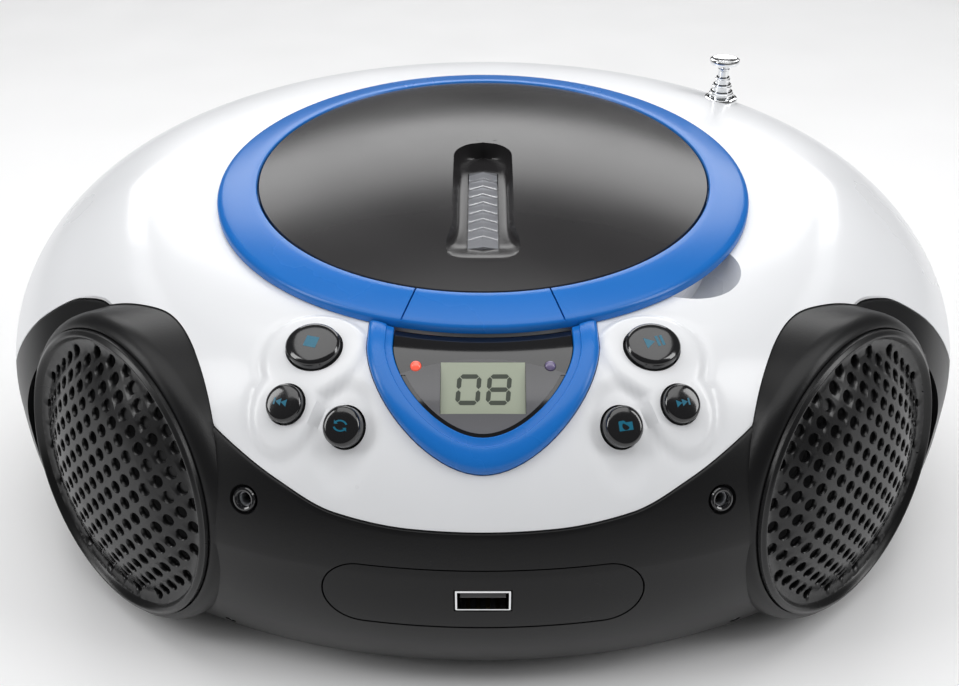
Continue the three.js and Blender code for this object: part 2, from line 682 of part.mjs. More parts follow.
function lidRing() {
  const seat = PLATE_BOTTOM - GAP;
  let body = turned([
    [RING_INNER_R - 3, seat - 1.4], [RING_OUTER_R - 4, GAP], [RING_OUTER_R, GAP],
    [RING_OUTER_R, GAP + LID_RING_EDGE], [RING_OUTER_R - 0.7, GAP + LID_RING_EDGE + 0.5],
    [RING_INNER_R, RING_INNER_TOP], [RING_INNER_R, seat], [RING_INNER_R - 3, seat], [RING_INNER_R - 3, seat - 1.4],
  ], 36, LID);
  for (const side of [-1, 1]) {
    const [from, to] = side < 0 ? [-HINGE_HALF + 0.6, -HINGE_HALF + 5] : [HINGE_HALF - 5, HINGE_HALF - 0.6];
    const barrel = LID.clone().multiply(at(0, HINGE_V, -HINGE_DROP));
    body = body.add(crossRod(1.9, from, to, 'x', barrel, 16));
    body = body.add(box(from, to, HINGE_V - 1.9, HINGE_V + 1.9, -HINGE_DROP, GAP + 0.5, LID));
    body = body.subtract(crossRod(HINGE_PIN_R + GAP, from - 1, to + 1, 'x', barrel, 12));
    // The rim beside the hinge is relieved underneath, so that it clears the casing when the lid stands open.
    const [near, far] = side < 0 ? [-RIM_R / 3, -HINGE_HALF + 0.5] : [HINGE_HALF - 0.5, RIM_R / 3];
    const opened = barrel.clone().multiply(new THREE.Matrix4().makeRotationX(OPEN_ANGLE));
    body = body.subtract(box(near, far, -8, 20, -20, HINGE_DROP + 0.1, opened));
  }
  return piece('lid_ring', body, BLUE);
}

function hingePin() {
  const reach = HINGE_HALF + HINGE_WALL - 0.4;
  const pin = crossRod(HINGE_PIN_R, -reach, reach, 'x', LID.clone().multiply(at(0, HINGE_V, -HINGE_DROP)), 12);
  return piece('lid_hinge_pin', pin, STEEL);
}

function domeSolid(top, edge, bottom, radius) {
  const profile = [[0, bottom], [radius, bottom]];
  const steps = 4;
  for (let i = 0; i <= steps; i++) {
    const r = radius * (1 - i / steps);
    profile.push([r, edge + (top - edge) * (1 - (r / radius) ** 2)]);
  }
  return turned(profile, 28, LID);
}

// The scoop runs forward from the lid's middle and widens to the front edge.
function scoopShape(grow) {
  const half = SCOOP_HALF + grow;
  const flare = SCOOP_FLARE + grow;
  const end = SCOOP_START - SCOOP_LENGTH - grow;
  const shape = new THREE.Shape();
  shape.moveTo(half, SCOOP_START - SCOOP_HALF);
  shape.absarc(0, SCOOP_START - SCOOP_HALF, half, 0, Math.PI, false);
  shape.lineTo(-half, end + 14);
  shape.quadraticCurveTo(-half, end + 4, -flare, end);
  shape.lineTo(flare, end);
  shape.quadraticCurveTo(half, end + 4, half, end + 14);
  return shape;
}

function scoopFrame() {
  const slope = 2.5 * DEG;
  return LID.clone().multiply(at(0, 0, SCOOP_FLOOR)).multiply(new THREE.Matrix4().makeRotationX(slope));
}

function lidPlate() {
  const full = domeSolid(PLATE_TOP, PLATE_EDGE_TOP, PLATE_BOTTOM, PLATE_R);
  const inner = domeSolid(PLATE_TOP - LID_PLATE_THICK, PLATE_EDGE_TOP - LID_PLATE_THICK - 0.1,
    PLATE_BOTTOM - 1, PLATE_R - 2.5);
  const wall = prism(scoopShape(1.6), -LID_PLATE_THICK, 12, scoopFrame(), 8).intersect(full);
  const cup = ring(CLAMPER_R + 0.6, CLAMPER_R + 2.4, -1.9, SCOOP_FLOOR - 1, 18, LID);
  const lip = ring(CLAMPER_R - 1.7, CLAMPER_R + 2.4, -1.9, -0.9, 18, LID);
  const roof = rod(CLAMPER_R + 2.4, SCOOP_FLOOR - 3.2, SCOOP_FLOOR - 1, LID, 24);
  let body = full.subtract(inner).add(wall).add(cup).add(lip).add(roof);
  body = body.subtract(prism(scoopShape(0), 0, 14, scoopFrame(), 8));
  const windowEnd = WINDOW_START - WINDOW_LENGTH;
  const slot = box(-WINDOW_HALF - GAP, WINDOW_HALF + GAP, windowEnd - GAP, WINDOW_START + GAP, -1.9, 2, scoopFrame());
  const pane = box(-WINDOW_HALF + 0.8, WINDOW_HALF - 0.8, windowEnd + 0.8, -CLAMPER_R - 4, -6, 2, scoopFrame());
  return piece('lid_plate', body.subtract(slot).subtract(pane), DARK);
}

function lidWindow() {
  const windowEnd = WINDOW_START - WINDOW_LENGTH;
  return piece('lid_window',
    box(-WINDOW_HALF, WINDOW_HALF, windowEnd, WINDOW_START, -1.6, 0.3, scoopFrame()), CLEAR);
}

function discClamper() {
  const low = DISC_LEVEL + 2.6;
  return piece('disc_clamper', turned([
    [0, low], [CLAMPER_R - 2.3, low], [CLAMPER_R - 2.3, -0.6], [CLAMPER_R, -0.6], [CLAMPER_R, 1.4], [0, 1.4],
  ], 24, LID), WHITE);
}

// ---- Disc mechanism ----
function mechanismChassis() {
  const bottom = DECK_TOP - DECK_PLATE;
  let body = box(-36, 36, DECK_FRONT, 30, bottom, DECK_TOP, LID);
  body = body.subtract(box(-13, 13, DECK_FRONT + 6, -HUB_R - 1, bottom - 1, DECK_TOP + 1, LID));
  for (const [u, v] of [[-31, -54], [31, -54], [-31, 25], [31, 25]]) {
    body = body.add(rod(3, DECK_TOP - 1, WELL_UNDER - GAP, LID.clone().multiply(at(u, v, 0)), 12));
  }
  for (const u of [-ROD_SPACING, ROD_SPACING]) {
    body = body.add(box(u - 2.6, u + 2.6, DECK_FRONT, DECK_FRONT + ROD_BLOCK, DECK_TOP - 1, ROD_W + 2.6, LID));
  }
  body = body.add(box(SCREW_X - 2.6, SCREW_X + 2.6, DECK_FRONT, DECK_FRONT + 3, DECK_TOP - 1, ROD_W + 2.6, LID));
  for (const u of [-ROD_SPACING, ROD_SPACING]) {
    body = body.subtract(crossRod(ROD_R + GAP, DECK_FRONT - 1, DECK_FRONT + 4, 'y', LID.clone().multiply(at(u, 0, ROD_W)), 12));
  }
  const screwBore = LID.clone().multiply(at(SCREW_X, 0, ROD_W));
  body = body.subtract(crossRod(SCREW_R + GAP, DECK_FRONT - 1, DECK_FRONT + 4, 'y', screwBore, 12));
  return piece('mechanism_chassis', body, DARK);
}

function guideRod(name, u) {
  return piece(name,
    crossRod(ROD_R, DECK_FRONT + 0.4, -MOTOR_R - 0.6, 'y', LID.clone().multiply(at(u, 0, ROD_W)), 12), STEEL);
}

function laserSled() {
  const back = SLED_BACK;
  const front = back - SLED_LENGTH;
  const reach = SCREW_X + 2.8;
  let body = box(-ROD_SPACING - 3, reach, front, back, ROD_W - 2.9, ROD_W + 2.9, LID);
  body = body.add(box(-10.5, 10.5, front, back, ROD_W, WELL_FLOOR + 2, LID));
  body = body.add(rod(3.5, WELL_FLOOR + 1, WELL_FLOOR + 3, LID.clone().multiply(at(0, front + 6, 0)), 16));
  for (const u of [-ROD_SPACING, ROD_SPACING]) {
    body = body.subtract(crossRod(ROD_R + GAP, front - 1, back + 1, 'y', LID.clone().multiply(at(u, 0, ROD_W)), 12));
  }
  const screw = LID.clone().multiply(at(SCREW_X, 0, ROD_W));
  return piece('laser_sled', body.subtract(crossRod(SCREW_R + GAP, front - 1, back + 1, 'y', screw, 12)), DARK);
}

function leadscrew() {
  const frame = LID.clone().multiply(at(SCREW_X, 0, ROD_W)).multiply(new THREE.Matrix4().makeRotationX(-Math.PI / 2));
  const profile = [[0, DECK_FRONT + 0.4]];
  const end = -MOTOR_R + 2;
  const grooves = 6;
  const pitch = (end - DECK_FRONT - 0.4) / grooves;
  for (let i = 0; i < grooves; i++) {
    const y = DECK_FRONT + 0.4 + i * pitch;
    profile.push([SCREW_R, y], [SCREW_R, y + pitch * 0.6], [SCREW_R - 0.35, y + pitch * 0.8]);
  }
  profile.push([SCREW_R, end], [0, end]);
  return piece('sled_leadscrew', turned(profile, 8, frame), STEEL);
}

function sledMotor() {
  const start = -MOTOR_R + 2 + GAP;
  const can = crossRod(SCREW_MOTOR_R, start, start + 16, 'y', LID.clone().multiply(at(SCREW_X, 0, ROD_W)), 16);
  return piece('sled_motor', can, STEEL);
}

function spindleMotor() {
  const top = WELL_UNDER - 0.6;
  return piece('spindle_motor', turned([
    [0, DECK_TOP + GAP], [MOTOR_R, DECK_TOP + GAP], [MOTOR_R, top], [1, top], [1, WELL_FLOOR + 3], [0, WELL_FLOOR + 3],
  ], 24, LID), STEEL);
}

function turntable() {
  const low = WELL_UNDER + 1.2;
  return piece('turntable', turned([
    [1 + GAP, low], [HUB_R, low], [HUB_R, DISC_LEVEL - 0.6], [7.3, DISC_LEVEL - 0.6], [7.3, DISC_LEVEL + 0.8],
    [5, DISC_LEVEL + 2], [0, DISC_LEVEL + 2], [0, WELL_FLOOR + 3 + GAP], [1 + GAP, WELL_FLOOR + 3 + GAP], [1 + GAP, low],
  ], 24, LID), DARK);
}

// ---- Speakers ----
function speakerGrille(name, side) {
  return piece(name, turned([
    [0, -2.7], [GRILLE_R, -2.7], [GRILLE_R, 1], [GRILLE_R - 1.4, 2], [GRILLE_R - 2.8, 0.6],
    [GRILLE_R - 5, -0.4], [GRILLE_R - 10, 1.8], [GRILLE_R * 0.5, GRILLE_DOME * 0.72],
    [GRILLE_R * 0.25, GRILLE_DOME * 0.94], [0, GRILLE_DOME],
  ], 20, speakerFrame(side)), BLACK);
}

function speakerBasket(name, side) {
  const seat = -6 - GAP;
  return piece(name, turned([
    [CONE_R + 5.5, seat], [CONE_R + 5.5, seat - 1.6], [MAGNET_R + 2, -POD_DEPTH], [MAGNET_R, -POD_DEPTH],
    [MAGNET_R, -POD_DEPTH - 11], [0, -POD_DEPTH - 11], [0, -POD_DEPTH + 2], [MAGNET_R, -POD_DEPTH + 2],
    [CONE_R + 1.5, seat - 1.2], [CONE_R + 1.5, seat], [CONE_R + 5.5, seat],
  ], 16, speakerFrame(side)), STEEL);
}

function speakerCone(name, side) {
  const seat = -6 - GAP;
  return piece(name, turned([
    [CONE_R + 1.2, seat + 0.6], [CONE_R + 1.2, seat - 0.2], [9, -POD_DEPTH + 4.6], [0, -POD_DEPTH + 4.6],
    [0, -POD_DEPTH + 7], [6, -POD_DEPTH + 6.4], [9, -POD_DEPTH + 5.8], [CONE_R - 1, seat + 0.6],
    [CONE_R + 1.2, seat + 0.6],
  ], 16, speakerFrame(side)), PAPER);
}

// ---- Display ----
function displayBezel() {
  const band = casing(-BEZEL_PROUD).subtract(casing(WALL));
  const frame = bezelPrism(0).subtract(lensPrism(0));
  const ledge = casing(PANEL_THICK + 0.8).subtract(casing(WALL)).intersect(bezelPrism(0).subtract(lensPrism(-1.2)));
  const side = lidColumn(RIM_R + GAP);
  return piece('display_bezel', frame.intersect(band).add(ledge).subtract(side), BLUE);
}

function displayLens() {
  const band = casing(0.4).subtract(casing(PANEL_THICK + 0.4));
  return piece('display_lens', lensPrism(-GAP).intersect(band).subtract(lidColumn(RIM_R + GAP)), GLOSS);
}

const CONTROL_BOARD_TOP = -14;

function lcdPanel() {
  return piece('lcd_panel', box(-12, 12, -6.5, 9, CONTROL_BOARD_TOP + GAP, -5, DISPLAY), LCD);
}

function statusLed(name, x) {
  const low = CONTROL_BOARD_TOP + GAP;
  return piece(name, turned([[0, low], [1.5, low], [1.5, -5.4], [0.9, -4.9], [0, -4.8]], 12,
    DISPLAY.clone().multiply(at(x, 6.8, 0))), CLEAR);
}

function controlBoard() {
  const low = CONTROL_BOARD_TOP - BOARD_THICK;
  return piece('control_board', box(-44, 44, -9, 12, low, CONTROL_BOARD_TOP, DISPLAY), BOARD);
}

// ---- Front sockets ----
function usbPanel() {
  const skin = outer.subtract(casing(PANEL_THICK)).intersect(panelPrism(0));
  return piece('usb_panel', skin.subtract(usbHole()), GLOSS);
}

function usbSocket() {
  const front = -HALF_DEPTH + 0.4;
  const back = front + USB_DEPTH;
  const halfWidth = USB_WIDTH / 2;
  const low = PANEL_Z - USB_HEIGHT / 2;
  const high = PANEL_Z + USB_HEIGHT / 2;
  const can = box(-halfWidth, halfWidth, front, back, low, high);
  const inside = box(-halfWidth + USB_WALL, halfWidth - USB_WALL, front - 1, back - 2, low + USB_WALL, high - USB_WALL);
  const tongue = box(-halfWidth + 1.3, halfWidth - 1.3, front + 1, back - 1, PANEL_Z + 0.1, PANEL_Z + 1.9);
  return piece('usb_socket', can.subtract(inside).add(tongue), CHROME);
}

function jack(name, side) {
  return piece(name, turned([
    [JACK_BORE_R, -11], [JACK_BORE_R, 0.2], [JACK_R - 0.3, 0.2], [JACK_R, -0.2], [JACK_R, -WALL - 0.8],
    [JACK_BODY_R, -WALL - 0.8], [JACK_BODY_R, -13], [0, -13], [0, -11], [JACK_BORE_R, -11],
  ], 16, jackFrame(side)), BLACK);
}

// ---- Power ----
function mainsInlet() {
  const body = prism(stadiumShape(11, 6), -16, 0, INLET, 6);
  const socket = prism(stadiumShape(8.8, 4.3), -12, 1, INLET, 6);
  const pins = [-4.2, 4.2].map((x) => rod(1.2, -13, -2, INLET.clone().multiply(at(x, 0, 0)), 8));
  return piece('mains_inlet', body.subtract(socket).add(pins[0]).add(pins[1]), BLACK);
}

function powerTransformer() {
  const floor = FOOT_HEIGHT + WALL + GAP;
  const right = -BATTERY_HALF - BATTERY_WALL - 5;
  const core = box(right - 30, right, 0, 40, floor, floor + 30);
  const coil = box(right - 27, right - 3, -7, 47, floor + 6, floor + 24);
  return piece('power_transformer', core.add(coil), STEEL);
}

function batteryContact(name, side) {
  const wall = side * (BATTERY_HALF - GAP);
  const [from, to] = side < 0 ? [wall, wall + 0.6] : [wall - 0.6, wall];
  const low = FOOT_HEIGHT + DOOR_THICK + 4;
  return piece(name, box(from, to, BATTERY_FRONT + 3, BATTERY_FRONT + BATTERY_WIDE - 3, low, BATTERY_TOP - 5), STEEL);
}

function mainBoard() {
  return piece('main_board',
    box(-MAIN_BOARD_HALF, MAIN_BOARD_HALF, MAIN_BOARD_FRONT, MAIN_BOARD_BACK, mainBoardZ, mainBoardZ + BOARD_THICK),
    BOARD);
}

// ---- Rear controls ----
function tunerBoard() {
  const top = TUNER_BOARD_Z + BOARD_THICK;
  const wide = box(-TUNER_BOARD_HALF, TUNER_BOARD_HALF, TUNER_BOARD_FRONT, TUNER_BOARD_BACK, TUNER_BOARD_Z, top);
  const tongue = box(-20, 20, TUNER_BOARD_BACK - 1, HALF_DEPTH - 8, TUNER_BOARD_Z, top);
  return piece('tuner_board', wide.add(tongue), BOARD);
}

function rearKnob(name, side) {
  const frame = rearKnobFrame(side);
  const teeth = 24;
  const shape = new THREE.Shape();
  for (let i = 0; i < teeth; i++) {
    const angle = 2 * Math.PI * i / teeth;
    const radius = i % 2 ? KNOB_R : KNOB_R - 0.5;
    shape[i ? 'lineTo' : 'moveTo'](radius * Math.cos(angle), radius * Math.sin(angle));
  }
  const wheel = prism(shape, 0, KNOB_THICK, frame);
  return piece(name, wheel.subtract(rod(2 + GAP, -1, 4, frame, 12)), BLACK);
}

function rearControl(name, side) {
  const frame = rearKnobFrame(side);
  return piece(name, turned([
    [0, -8.5 - GAP], [7, -8.5 - GAP], [7, -GAP], [2, -GAP], [2, 3.5], [0, 3.5],
  ], 16, frame), STEEL);
}

function switchBody() {
  return piece('function_switch_body',
    box(-14, 14, HALF_DEPTH - 15, HALF_DEPTH - 6, SWITCH_Z - 4, SWITCH_Z + 4), STEEL);
}

function switchKnob() {
  const start = -SWITCH_TRAVEL / 2;
  const cap = box(start - 3.5, start + 3.5, HALF_DEPTH - 6 + GAP, HALF_DEPTH - 0.5, SWITCH_Z - 1.4, SWITCH_Z + 1.4);
  return piece('function_switch_knob', cap, BLACK);
}

// ---- Antenna ----
const antennaTop = surfaceAt(ANTENNA_X, ANTENNA_Y).point.z;
const ANTENNA = at(ANTENNA_X, ANTENNA_Y, 0);

function antennaTube(name, step) {
  const radius = ANTENNA_R - step * ANTENNA_STEP;
  const inner = radius - ANTENNA_WALL;
  const low = ANTENNA_FOOT + 2 * step;
  const high = antennaTop + 3.2 + 2.4 * step;
  return piece(name, turned([
    [inner, low], [radius, low], [radius, high - 0.5], [radius - 0.2, high], [inner, high], [inner, low],
  ], 16, ANTENNA), CHROME);
}

function antennaRod() {
  const radius = ANTENNA_R - 3 * ANTENNA_STEP;
  const top = antennaTop + 14.2;
  return piece('antenna_tip_rod', turned([
    [0, ANTENNA_FOOT + 6], [radius, ANTENNA_FOOT + 6], [radius, top - 3], [5, top - 2], [5, top - 0.6],
    [4.4, top], [0, top],
  ], 16, ANTENNA), CHROME);
}

function antennaBushing() {
  return piece('antenna_bushing', turned([
    [ANTENNA_R + GAP, antennaTop - 6], [4.9, antennaTop - 6], [4.9, antennaTop + 1.3], [5.6, antennaTop + 1.3],
    [5.6, antennaTop + 2], [ANTENNA_R + GAP, antennaTop + 2.3], [ANTENNA_R + GAP, antennaTop - 6],
  ], 16, ANTENNA), CHROME);
}

// ---- Feet ----
function foot(name, sx, sy) {
  const x = sx * HALF_WIDTH * 0.62;
  const y = sy * HALF_DEPTH * 0.52;
  return piece(name, turned([
    [0, 0], [FOOT_R - 1, 0], [FOOT_R, 1.2], [FOOT_R, FOOT_HEIGHT - GAP], [0, FOOT_HEIGHT - GAP],
  ], 16, at(x, y, 0)), RUBBER);
}

// ---- Assembly ----
const player = new THREE.Group();
const casingGroup = new THREE.Group();
casingGroup.add(baseShell(), topShell(), discWell());
casingGroup.add(usbPanel(), usbSocket(), jack('headphone_jack', -1), jack('aux_jack', 1));
casingGroup.add(mainsInlet(), powerTransformer(), mainBoard(), tunerBoard(), controlBoard());
casingGroup.add(batteryContact('battery_contact_left', -1), batteryContact('battery_contact_right', 1));
casingGroup.add(foot('rubber_foot_front_left', -1, -1), foot('rubber_foot_front_right', 1, -1));
casingGroup.add(foot('rubber_foot_rear_left', -1, 1), foot('rubber_foot_rear_right', 1, 1));
casingGroup.add(batteryDoor());

const speakerGroup = new THREE.Group();
for (const [word, side] of [['left', -1], ['right', 1]]) {
  speakerGroup.add(speakerGrille(`${word}_speaker_grille`, side));
  speakerGroup.add(speakerBasket(`${word}_speaker_basket`, side));
  speakerGroup.add(speakerCone(`${word}_speaker_cone`, side));
}

const controlGroup = new THREE.Group();
controlGroup.add(displayBezel(), displayLens(), lcdPanel(), statusLed('power_led', -15.4), statusLed('stereo_led', 15.4));
for (const entry of BUTTONS) controlGroup.add(button(entry));
controlGroup.add(rearKnob('volume_knob', -1), rearControl('volume_control', -1));
controlGroup.add(rearKnob('tuning_knob', 1), rearControl('tuning_capacitor', 1));
controlGroup.add(switchBody(), switchKnob());

const mechanismGroup = new THREE.Group();
mechanismGroup.add(mechanismChassis(), spindleMotor(), turntable(), laserSled());
mechanismGroup.add(guideRod('guide_rod_left', -ROD_SPACING), guideRod('guide_rod_right', ROD_SPACING));
mechanismGroup.add(leadscrew(), sledMotor());

const antennaGroup = new THREE.Group();
antennaGroup.add(antennaBushing(), antennaTube('antenna_outer_tube', 0));
antennaGroup.add(antennaTube('antenna_section_two', 1), antennaTube('antenna_section_three', 2), antennaRod());

const lidGroup = new THREE.Group();
lidGroup.add(lidRing(), lidPlate(), lidWindow(), discClamper(), hingePin());

player.add(casingGroup, speakerGroup, controlGroup, mechanismGroup, antennaGroup, lidGroup);

export default player;
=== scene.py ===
"""Portable disc player: an oval, top-loading player with two front speakers, a radio and a USB port."""
import json
import math

import bmesh
import bpy
from mathutils import Matrix, Vector


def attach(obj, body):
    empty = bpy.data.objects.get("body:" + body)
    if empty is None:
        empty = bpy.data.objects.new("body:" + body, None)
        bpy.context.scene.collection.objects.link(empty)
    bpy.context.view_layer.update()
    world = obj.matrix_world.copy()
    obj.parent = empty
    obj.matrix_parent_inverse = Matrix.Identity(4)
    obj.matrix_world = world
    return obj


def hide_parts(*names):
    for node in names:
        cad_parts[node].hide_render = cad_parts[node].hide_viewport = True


bl_info = {
    "name": "Portable disc player",
    "version": (1, 0, 0),
    "blender": (4, 5, 0),
    "location": "View3D > Sidebar > Player",
    "description": "Builds the visible pieces of a portable disc player around its fixed frame",
    "category": "Object",
}

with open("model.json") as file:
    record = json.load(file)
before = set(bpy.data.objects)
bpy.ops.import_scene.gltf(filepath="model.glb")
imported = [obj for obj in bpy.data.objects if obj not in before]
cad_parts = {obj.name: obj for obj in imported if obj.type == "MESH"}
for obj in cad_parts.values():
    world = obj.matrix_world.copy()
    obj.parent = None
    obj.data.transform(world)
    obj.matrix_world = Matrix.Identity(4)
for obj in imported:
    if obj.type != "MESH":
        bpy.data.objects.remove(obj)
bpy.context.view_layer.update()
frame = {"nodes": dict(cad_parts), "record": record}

MM = 0.001
TURN = 2 * math.pi
DEG = math.pi / 180

# Casing, in millimetres
HALF_WIDTH = 142
HALF_DEPTH = 118
WIDEST_Z = 44
CASING_BOTTOM = 5
WALL = 2.5
GAP = 0.3
RIM_R = 76
LID_FRAME = Matrix.Translation((0, -7, 94)) @ Matrix.Rotation(5 * DEG, 4, "X")
LEDGE_R = 70
# Speakers
SPEAKER_PLACE = (94, -79.5, 44.5)
SPEAKER_AZIMUTH = 49 * DEG
SPEAKER_LIFT = 8 * DEG
POD_R = 41.8
POD_DEPTH = 24
GRILLE_R = 38.5
CONE_R = 28
# Lid
RING_OUTER = 75.6
RING_INNER = 64.3
PLATE_R = 64
PLATE_EDGE = 4.4
PLATE_DOME = 8.2
PLATE_BOTTOM = 2.4
HINGE_V = 73.6
HINGE_DROP = 1.6
HINGE_HALF = 13.4
SCOOP_HALF = 7.7
SCOOP_FLOOR = 7.6
SCOOP_SLOPE = 2.5 * DEG
WINDOW_HALF = 3.9
WINDOW_FROM = -8.5
WINDOW_TO = -46.5
# Display
DISPLAY_FRAME = Matrix.Translation((0, -97.5, 81.26)) @ Matrix.Rotation(41.12 * DEG, 4, "X")
# Front sockets
PANEL_HALF = (37.5, 9)
PANEL_Z = 37.1
USB_HALF = (6.55, 3.1)
# Buttons: piece, node, place in plan, half sizes, symbol
BUTTONS = (
    ("stop", -39.3, -84.8, 6.6, 5.8),
    ("previous", -45, -95.1, 4.4, 4.5),
    ("program", -31.4, -100.9, 4.4, 4.7),
    ("play", 39.3, -84.8, 6.6, 5.8),
    ("next", 45, -95.1, 4.4, 4.5),
    ("folder", 31.4, -100.9, 4.4, 4.7),
)
BUTTON_PROUD = 3.2
ANTENNA_PLACE = (81.5, 61.5)
MATERIALS = {}


# ---- Small maths ----
def smooth(low, high, value):
    """Rises gently from 0 at low to 1 at high."""
    share = min(max((value - low) / (high - low), 0), 1)
    return share * share * (3 - 2 * share)


def facing(origin, normal):
    """A frame at origin whose Z is the normal and whose X is level."""
    z = Vector(normal).normalized()
    x = Vector((0, 0, 1)).cross(z).normalized()
    y = z.cross(x)
    turn = Matrix((x, y, z)).transposed().to_4x4()
    return Matrix.Translation(origin) @ turn


def curve_through(points):
    """A smooth function of one number through (place, value) points, without overshoot."""
    slopes = [(b[1] - a[1]) / (b[0] - a[0]) for a, b in zip(points, points[1:])]
    tangents = [0.0]
    for left, right in zip(slopes, slopes[1:]):
        tangents.append(0.0 if left * right <= 0 else 2 * left * right / (left + right))
    tangents.append(0.0)

    def value(place):
        place = min(max(place, points[0][0]), points[-1][0])
        index = max(i for i in range(len(points) - 1) if points[i][0] <= place)
        (x0, y0), (x1, y1) = points[index], points[index + 1]
        span = x1 - x0
        s = (place - x0) / span
        return ((1 + 2 * s) * (1 - s) ** 2 * y0 + s * (1 - s) ** 2 * span * tangents[index]
                + s * s * (3 - 2 * s) * y1 + s * s * (s - 1) * span * tangents[index + 1])

    return value


def rounded(points, radius, steps=4, closed=False):
    """The same outline with its corners eased by about the radius."""
    result = []
    count = len(points)
    for i, point in enumerate(points):
        corner = Vector(point)
        if not closed and i in (0, count - 1):
            result.append(tuple(corner))
            continue
        before = Vector(points[i - 1]) - corner
        after = Vector(points[(i + 1) % count]) - corner
        start = corner + before.normalized() * min(radius, before.length * 0.49)
        end = corner + after.normalized() * min(radius, after.length * 0.49)
        for k in range(steps + 1):
            s = k / steps
            result.append(tuple(start * (1 - s) ** 2 + corner * 2 * s * (1 - s) + end * s * s))
    return result


# ---- Casing surface ----
def rim_point(angle, inset):
    return LID_FRAME @ Vector((RIM_R * math.cos(angle), RIM_R * math.sin(angle), -inset))


def shares(angle):
    """How square the casing's section is at an angle: outward and upward exponents."""
    back = (1 + math.sin(angle)) / 2
    spread = 1.9 * (1 - back) + 4.2 * back - 0.8 * math.cos(angle) ** 2
    return spread, 1.4 * (1 - back) + 3.2 * back


def upper_point(angle, t, inset=0.0):
    """Upper casing: t is 0 at the lid rim and 1 at the widest outline."""
    rim = rim_point(angle, inset)
    spread, crown = shares(angle)
    outward = math.sin(t * math.pi / 2) ** (2 / spread)
    upward = max(math.cos(t * math.pi / 2), 0) ** (2 / crown)
    x = (HALF_WIDTH - inset) * math.cos(angle)
    y = (HALF_DEPTH - inset) * math.sin(angle)
    return Vector((rim.x + (x - rim.x) * outward, rim.y + (y - rim.y) * outward,
                   WIDEST_Z + (rim.z - WIDEST_Z) * upward))


def lower_point(angle, s, inset=0.0):
    """Lower casing: s is 0 at the widest outline and 1 at the bottom."""
    x = (HALF_WIDTH - inset) * math.cos(angle) * (1 - 0.04 * s ** 3)
    y = (HALF_DEPTH - inset) * math.sin(angle) * (1 - 0.10 * s ** 3)
    return Vector((x, y, WIDEST_Z + (CASING_BOTTOM + inset - WIDEST_Z) * s))


def casing_point(angle, v, inset=0.0):
    return upper_point(angle, v, inset) if v <= 1 else lower_point(angle, min(v - 1, 1), inset)


def level(angle, z, inset=0.0):
    """The casing's own coordinate v at a height."""
    if z <= WIDEST_Z:
        return 1 + (WIDEST_Z - z) / (WIDEST_Z - CASING_BOTTOM - inset)
    rise = (z - WIDEST_Z) / (rim_point(angle, inset).z - WIDEST_Z)
    return math.acos(min(rise, 1) ** (shares(angle)[1] / 2)) * 2 / math.pi


def wall_frame(x, z, sign):
    """A frame on the casing's side at a level place."""
    angle = sign * math.acos(x / HALF_WIDTH)
    for _ in range(12):
        point = casing_point(angle, level(angle, z))
        angle = sign * math.acos(min(max(math.cos(angle) + (x - point.x) / HALF_WIDTH, -1), 1))
    return facing(point, casing_normal(angle, level(angle, z)))


def casing_normal(angle, v):
    step = 1e-4
    here = casing_point(angle, v)
    ahead = step if v < 1 else -step
    along = (casing_point(angle, v + ahead) - here) * (1 if v < 1 else -1)
    normal = along.cross(casing_point(angle + step, v) - here).normalized()
    return normal


def surface(x, y):
    """Point and outward normal of the upper casing above a place in plan."""
    angle = math.atan2((y + 7) / HALF_DEPTH, x / HALF_WIDTH)
    t, step = 0.5, 1e-4
    for _ in range(24):
        p = upper_point(angle, t)
        pa = (upper_point(angle + step, t) - p) / step
        pt = (upper_point(angle, t + step) - p) / step
        det = pa.x * pt.y - pa.y * pt.x
        dx, dy = x - p.x, y - p.y
        angle += 0.7 * (dx * pt.y - dy * pt.x) / det
        t = min(max(t + 0.7 * (dy * pa.x - dx * pa.y) / det, 0.01), 0.99)
    return upper_point(angle, t), casing_normal(angle, t)


def plan_frame(x, y):
    return facing(*surface(x, y))


EAR_TOP = 80.4
SEAM = curve_through((
    (0, 55), (8, 55.3), (17, 57.3), (24, 62), (32, 68), (38, 72.2), (48, EAR_TOP - 3.6), (55, EAR_TOP - 1),
    (61, EAR_TOP), (66, EAR_TOP - 2.2), (70, EAR_TOP - 10), (75, 52), (84, 46), (95, 45), (140, 45), (180, 45),
))


def seam_height(angle):
    """Height of the seam between the casing halves on the casing's column at an angle."""
    azimuth = angle
    for _ in range(14):
        degrees = abs((azimuth / DEG + 90 + 180) % 360 - 180)
        z = SEAM(degrees)
        point = casing_point(angle, level(angle, z))
        azimuth = 0.5 * azimuth + 0.5 * (angle + math.remainder(math.atan2(point.y, point.x) - angle, TURN))
    return z


def speaker_frame(side):
    flat = math.cos(SPEAKER_LIFT)
    normal = (side * flat * math.cos(SPEAKER_AZIMUTH), -flat * math.sin(SPEAKER_AZIMUTH), math.sin(SPEAKER_LIFT))
    x, y, z = SPEAKER_PLACE
    return facing((side * x, y, z), normal)


# ---- Mesh tools ----
def lathe(profile, steps, place=None):
    """A turned solid from (radius, height) points."""
    bm = bmesh.new()
    verts = [bm.verts.new((r, 0, h)) for r, h in profile]
    edges = [bm.edges.new(pair) for pair in zip(verts, verts[1:])]
    bmesh.ops.spin(bm, geom=verts + edges, cent=(0, 0, 0), axis=(0, 0, 1), angle=TURN, steps=steps,
                   use_merge=True, use_duplicate=False)
    bmesh.ops.remove_doubles(bm, verts=bm.verts, dist=1e-3)
    bmesh.ops.recalc_face_normals(bm, faces=bm.faces)
    if place is not None:
        bmesh.ops.transform(bm, matrix=place, verts=bm.verts)
    return bm


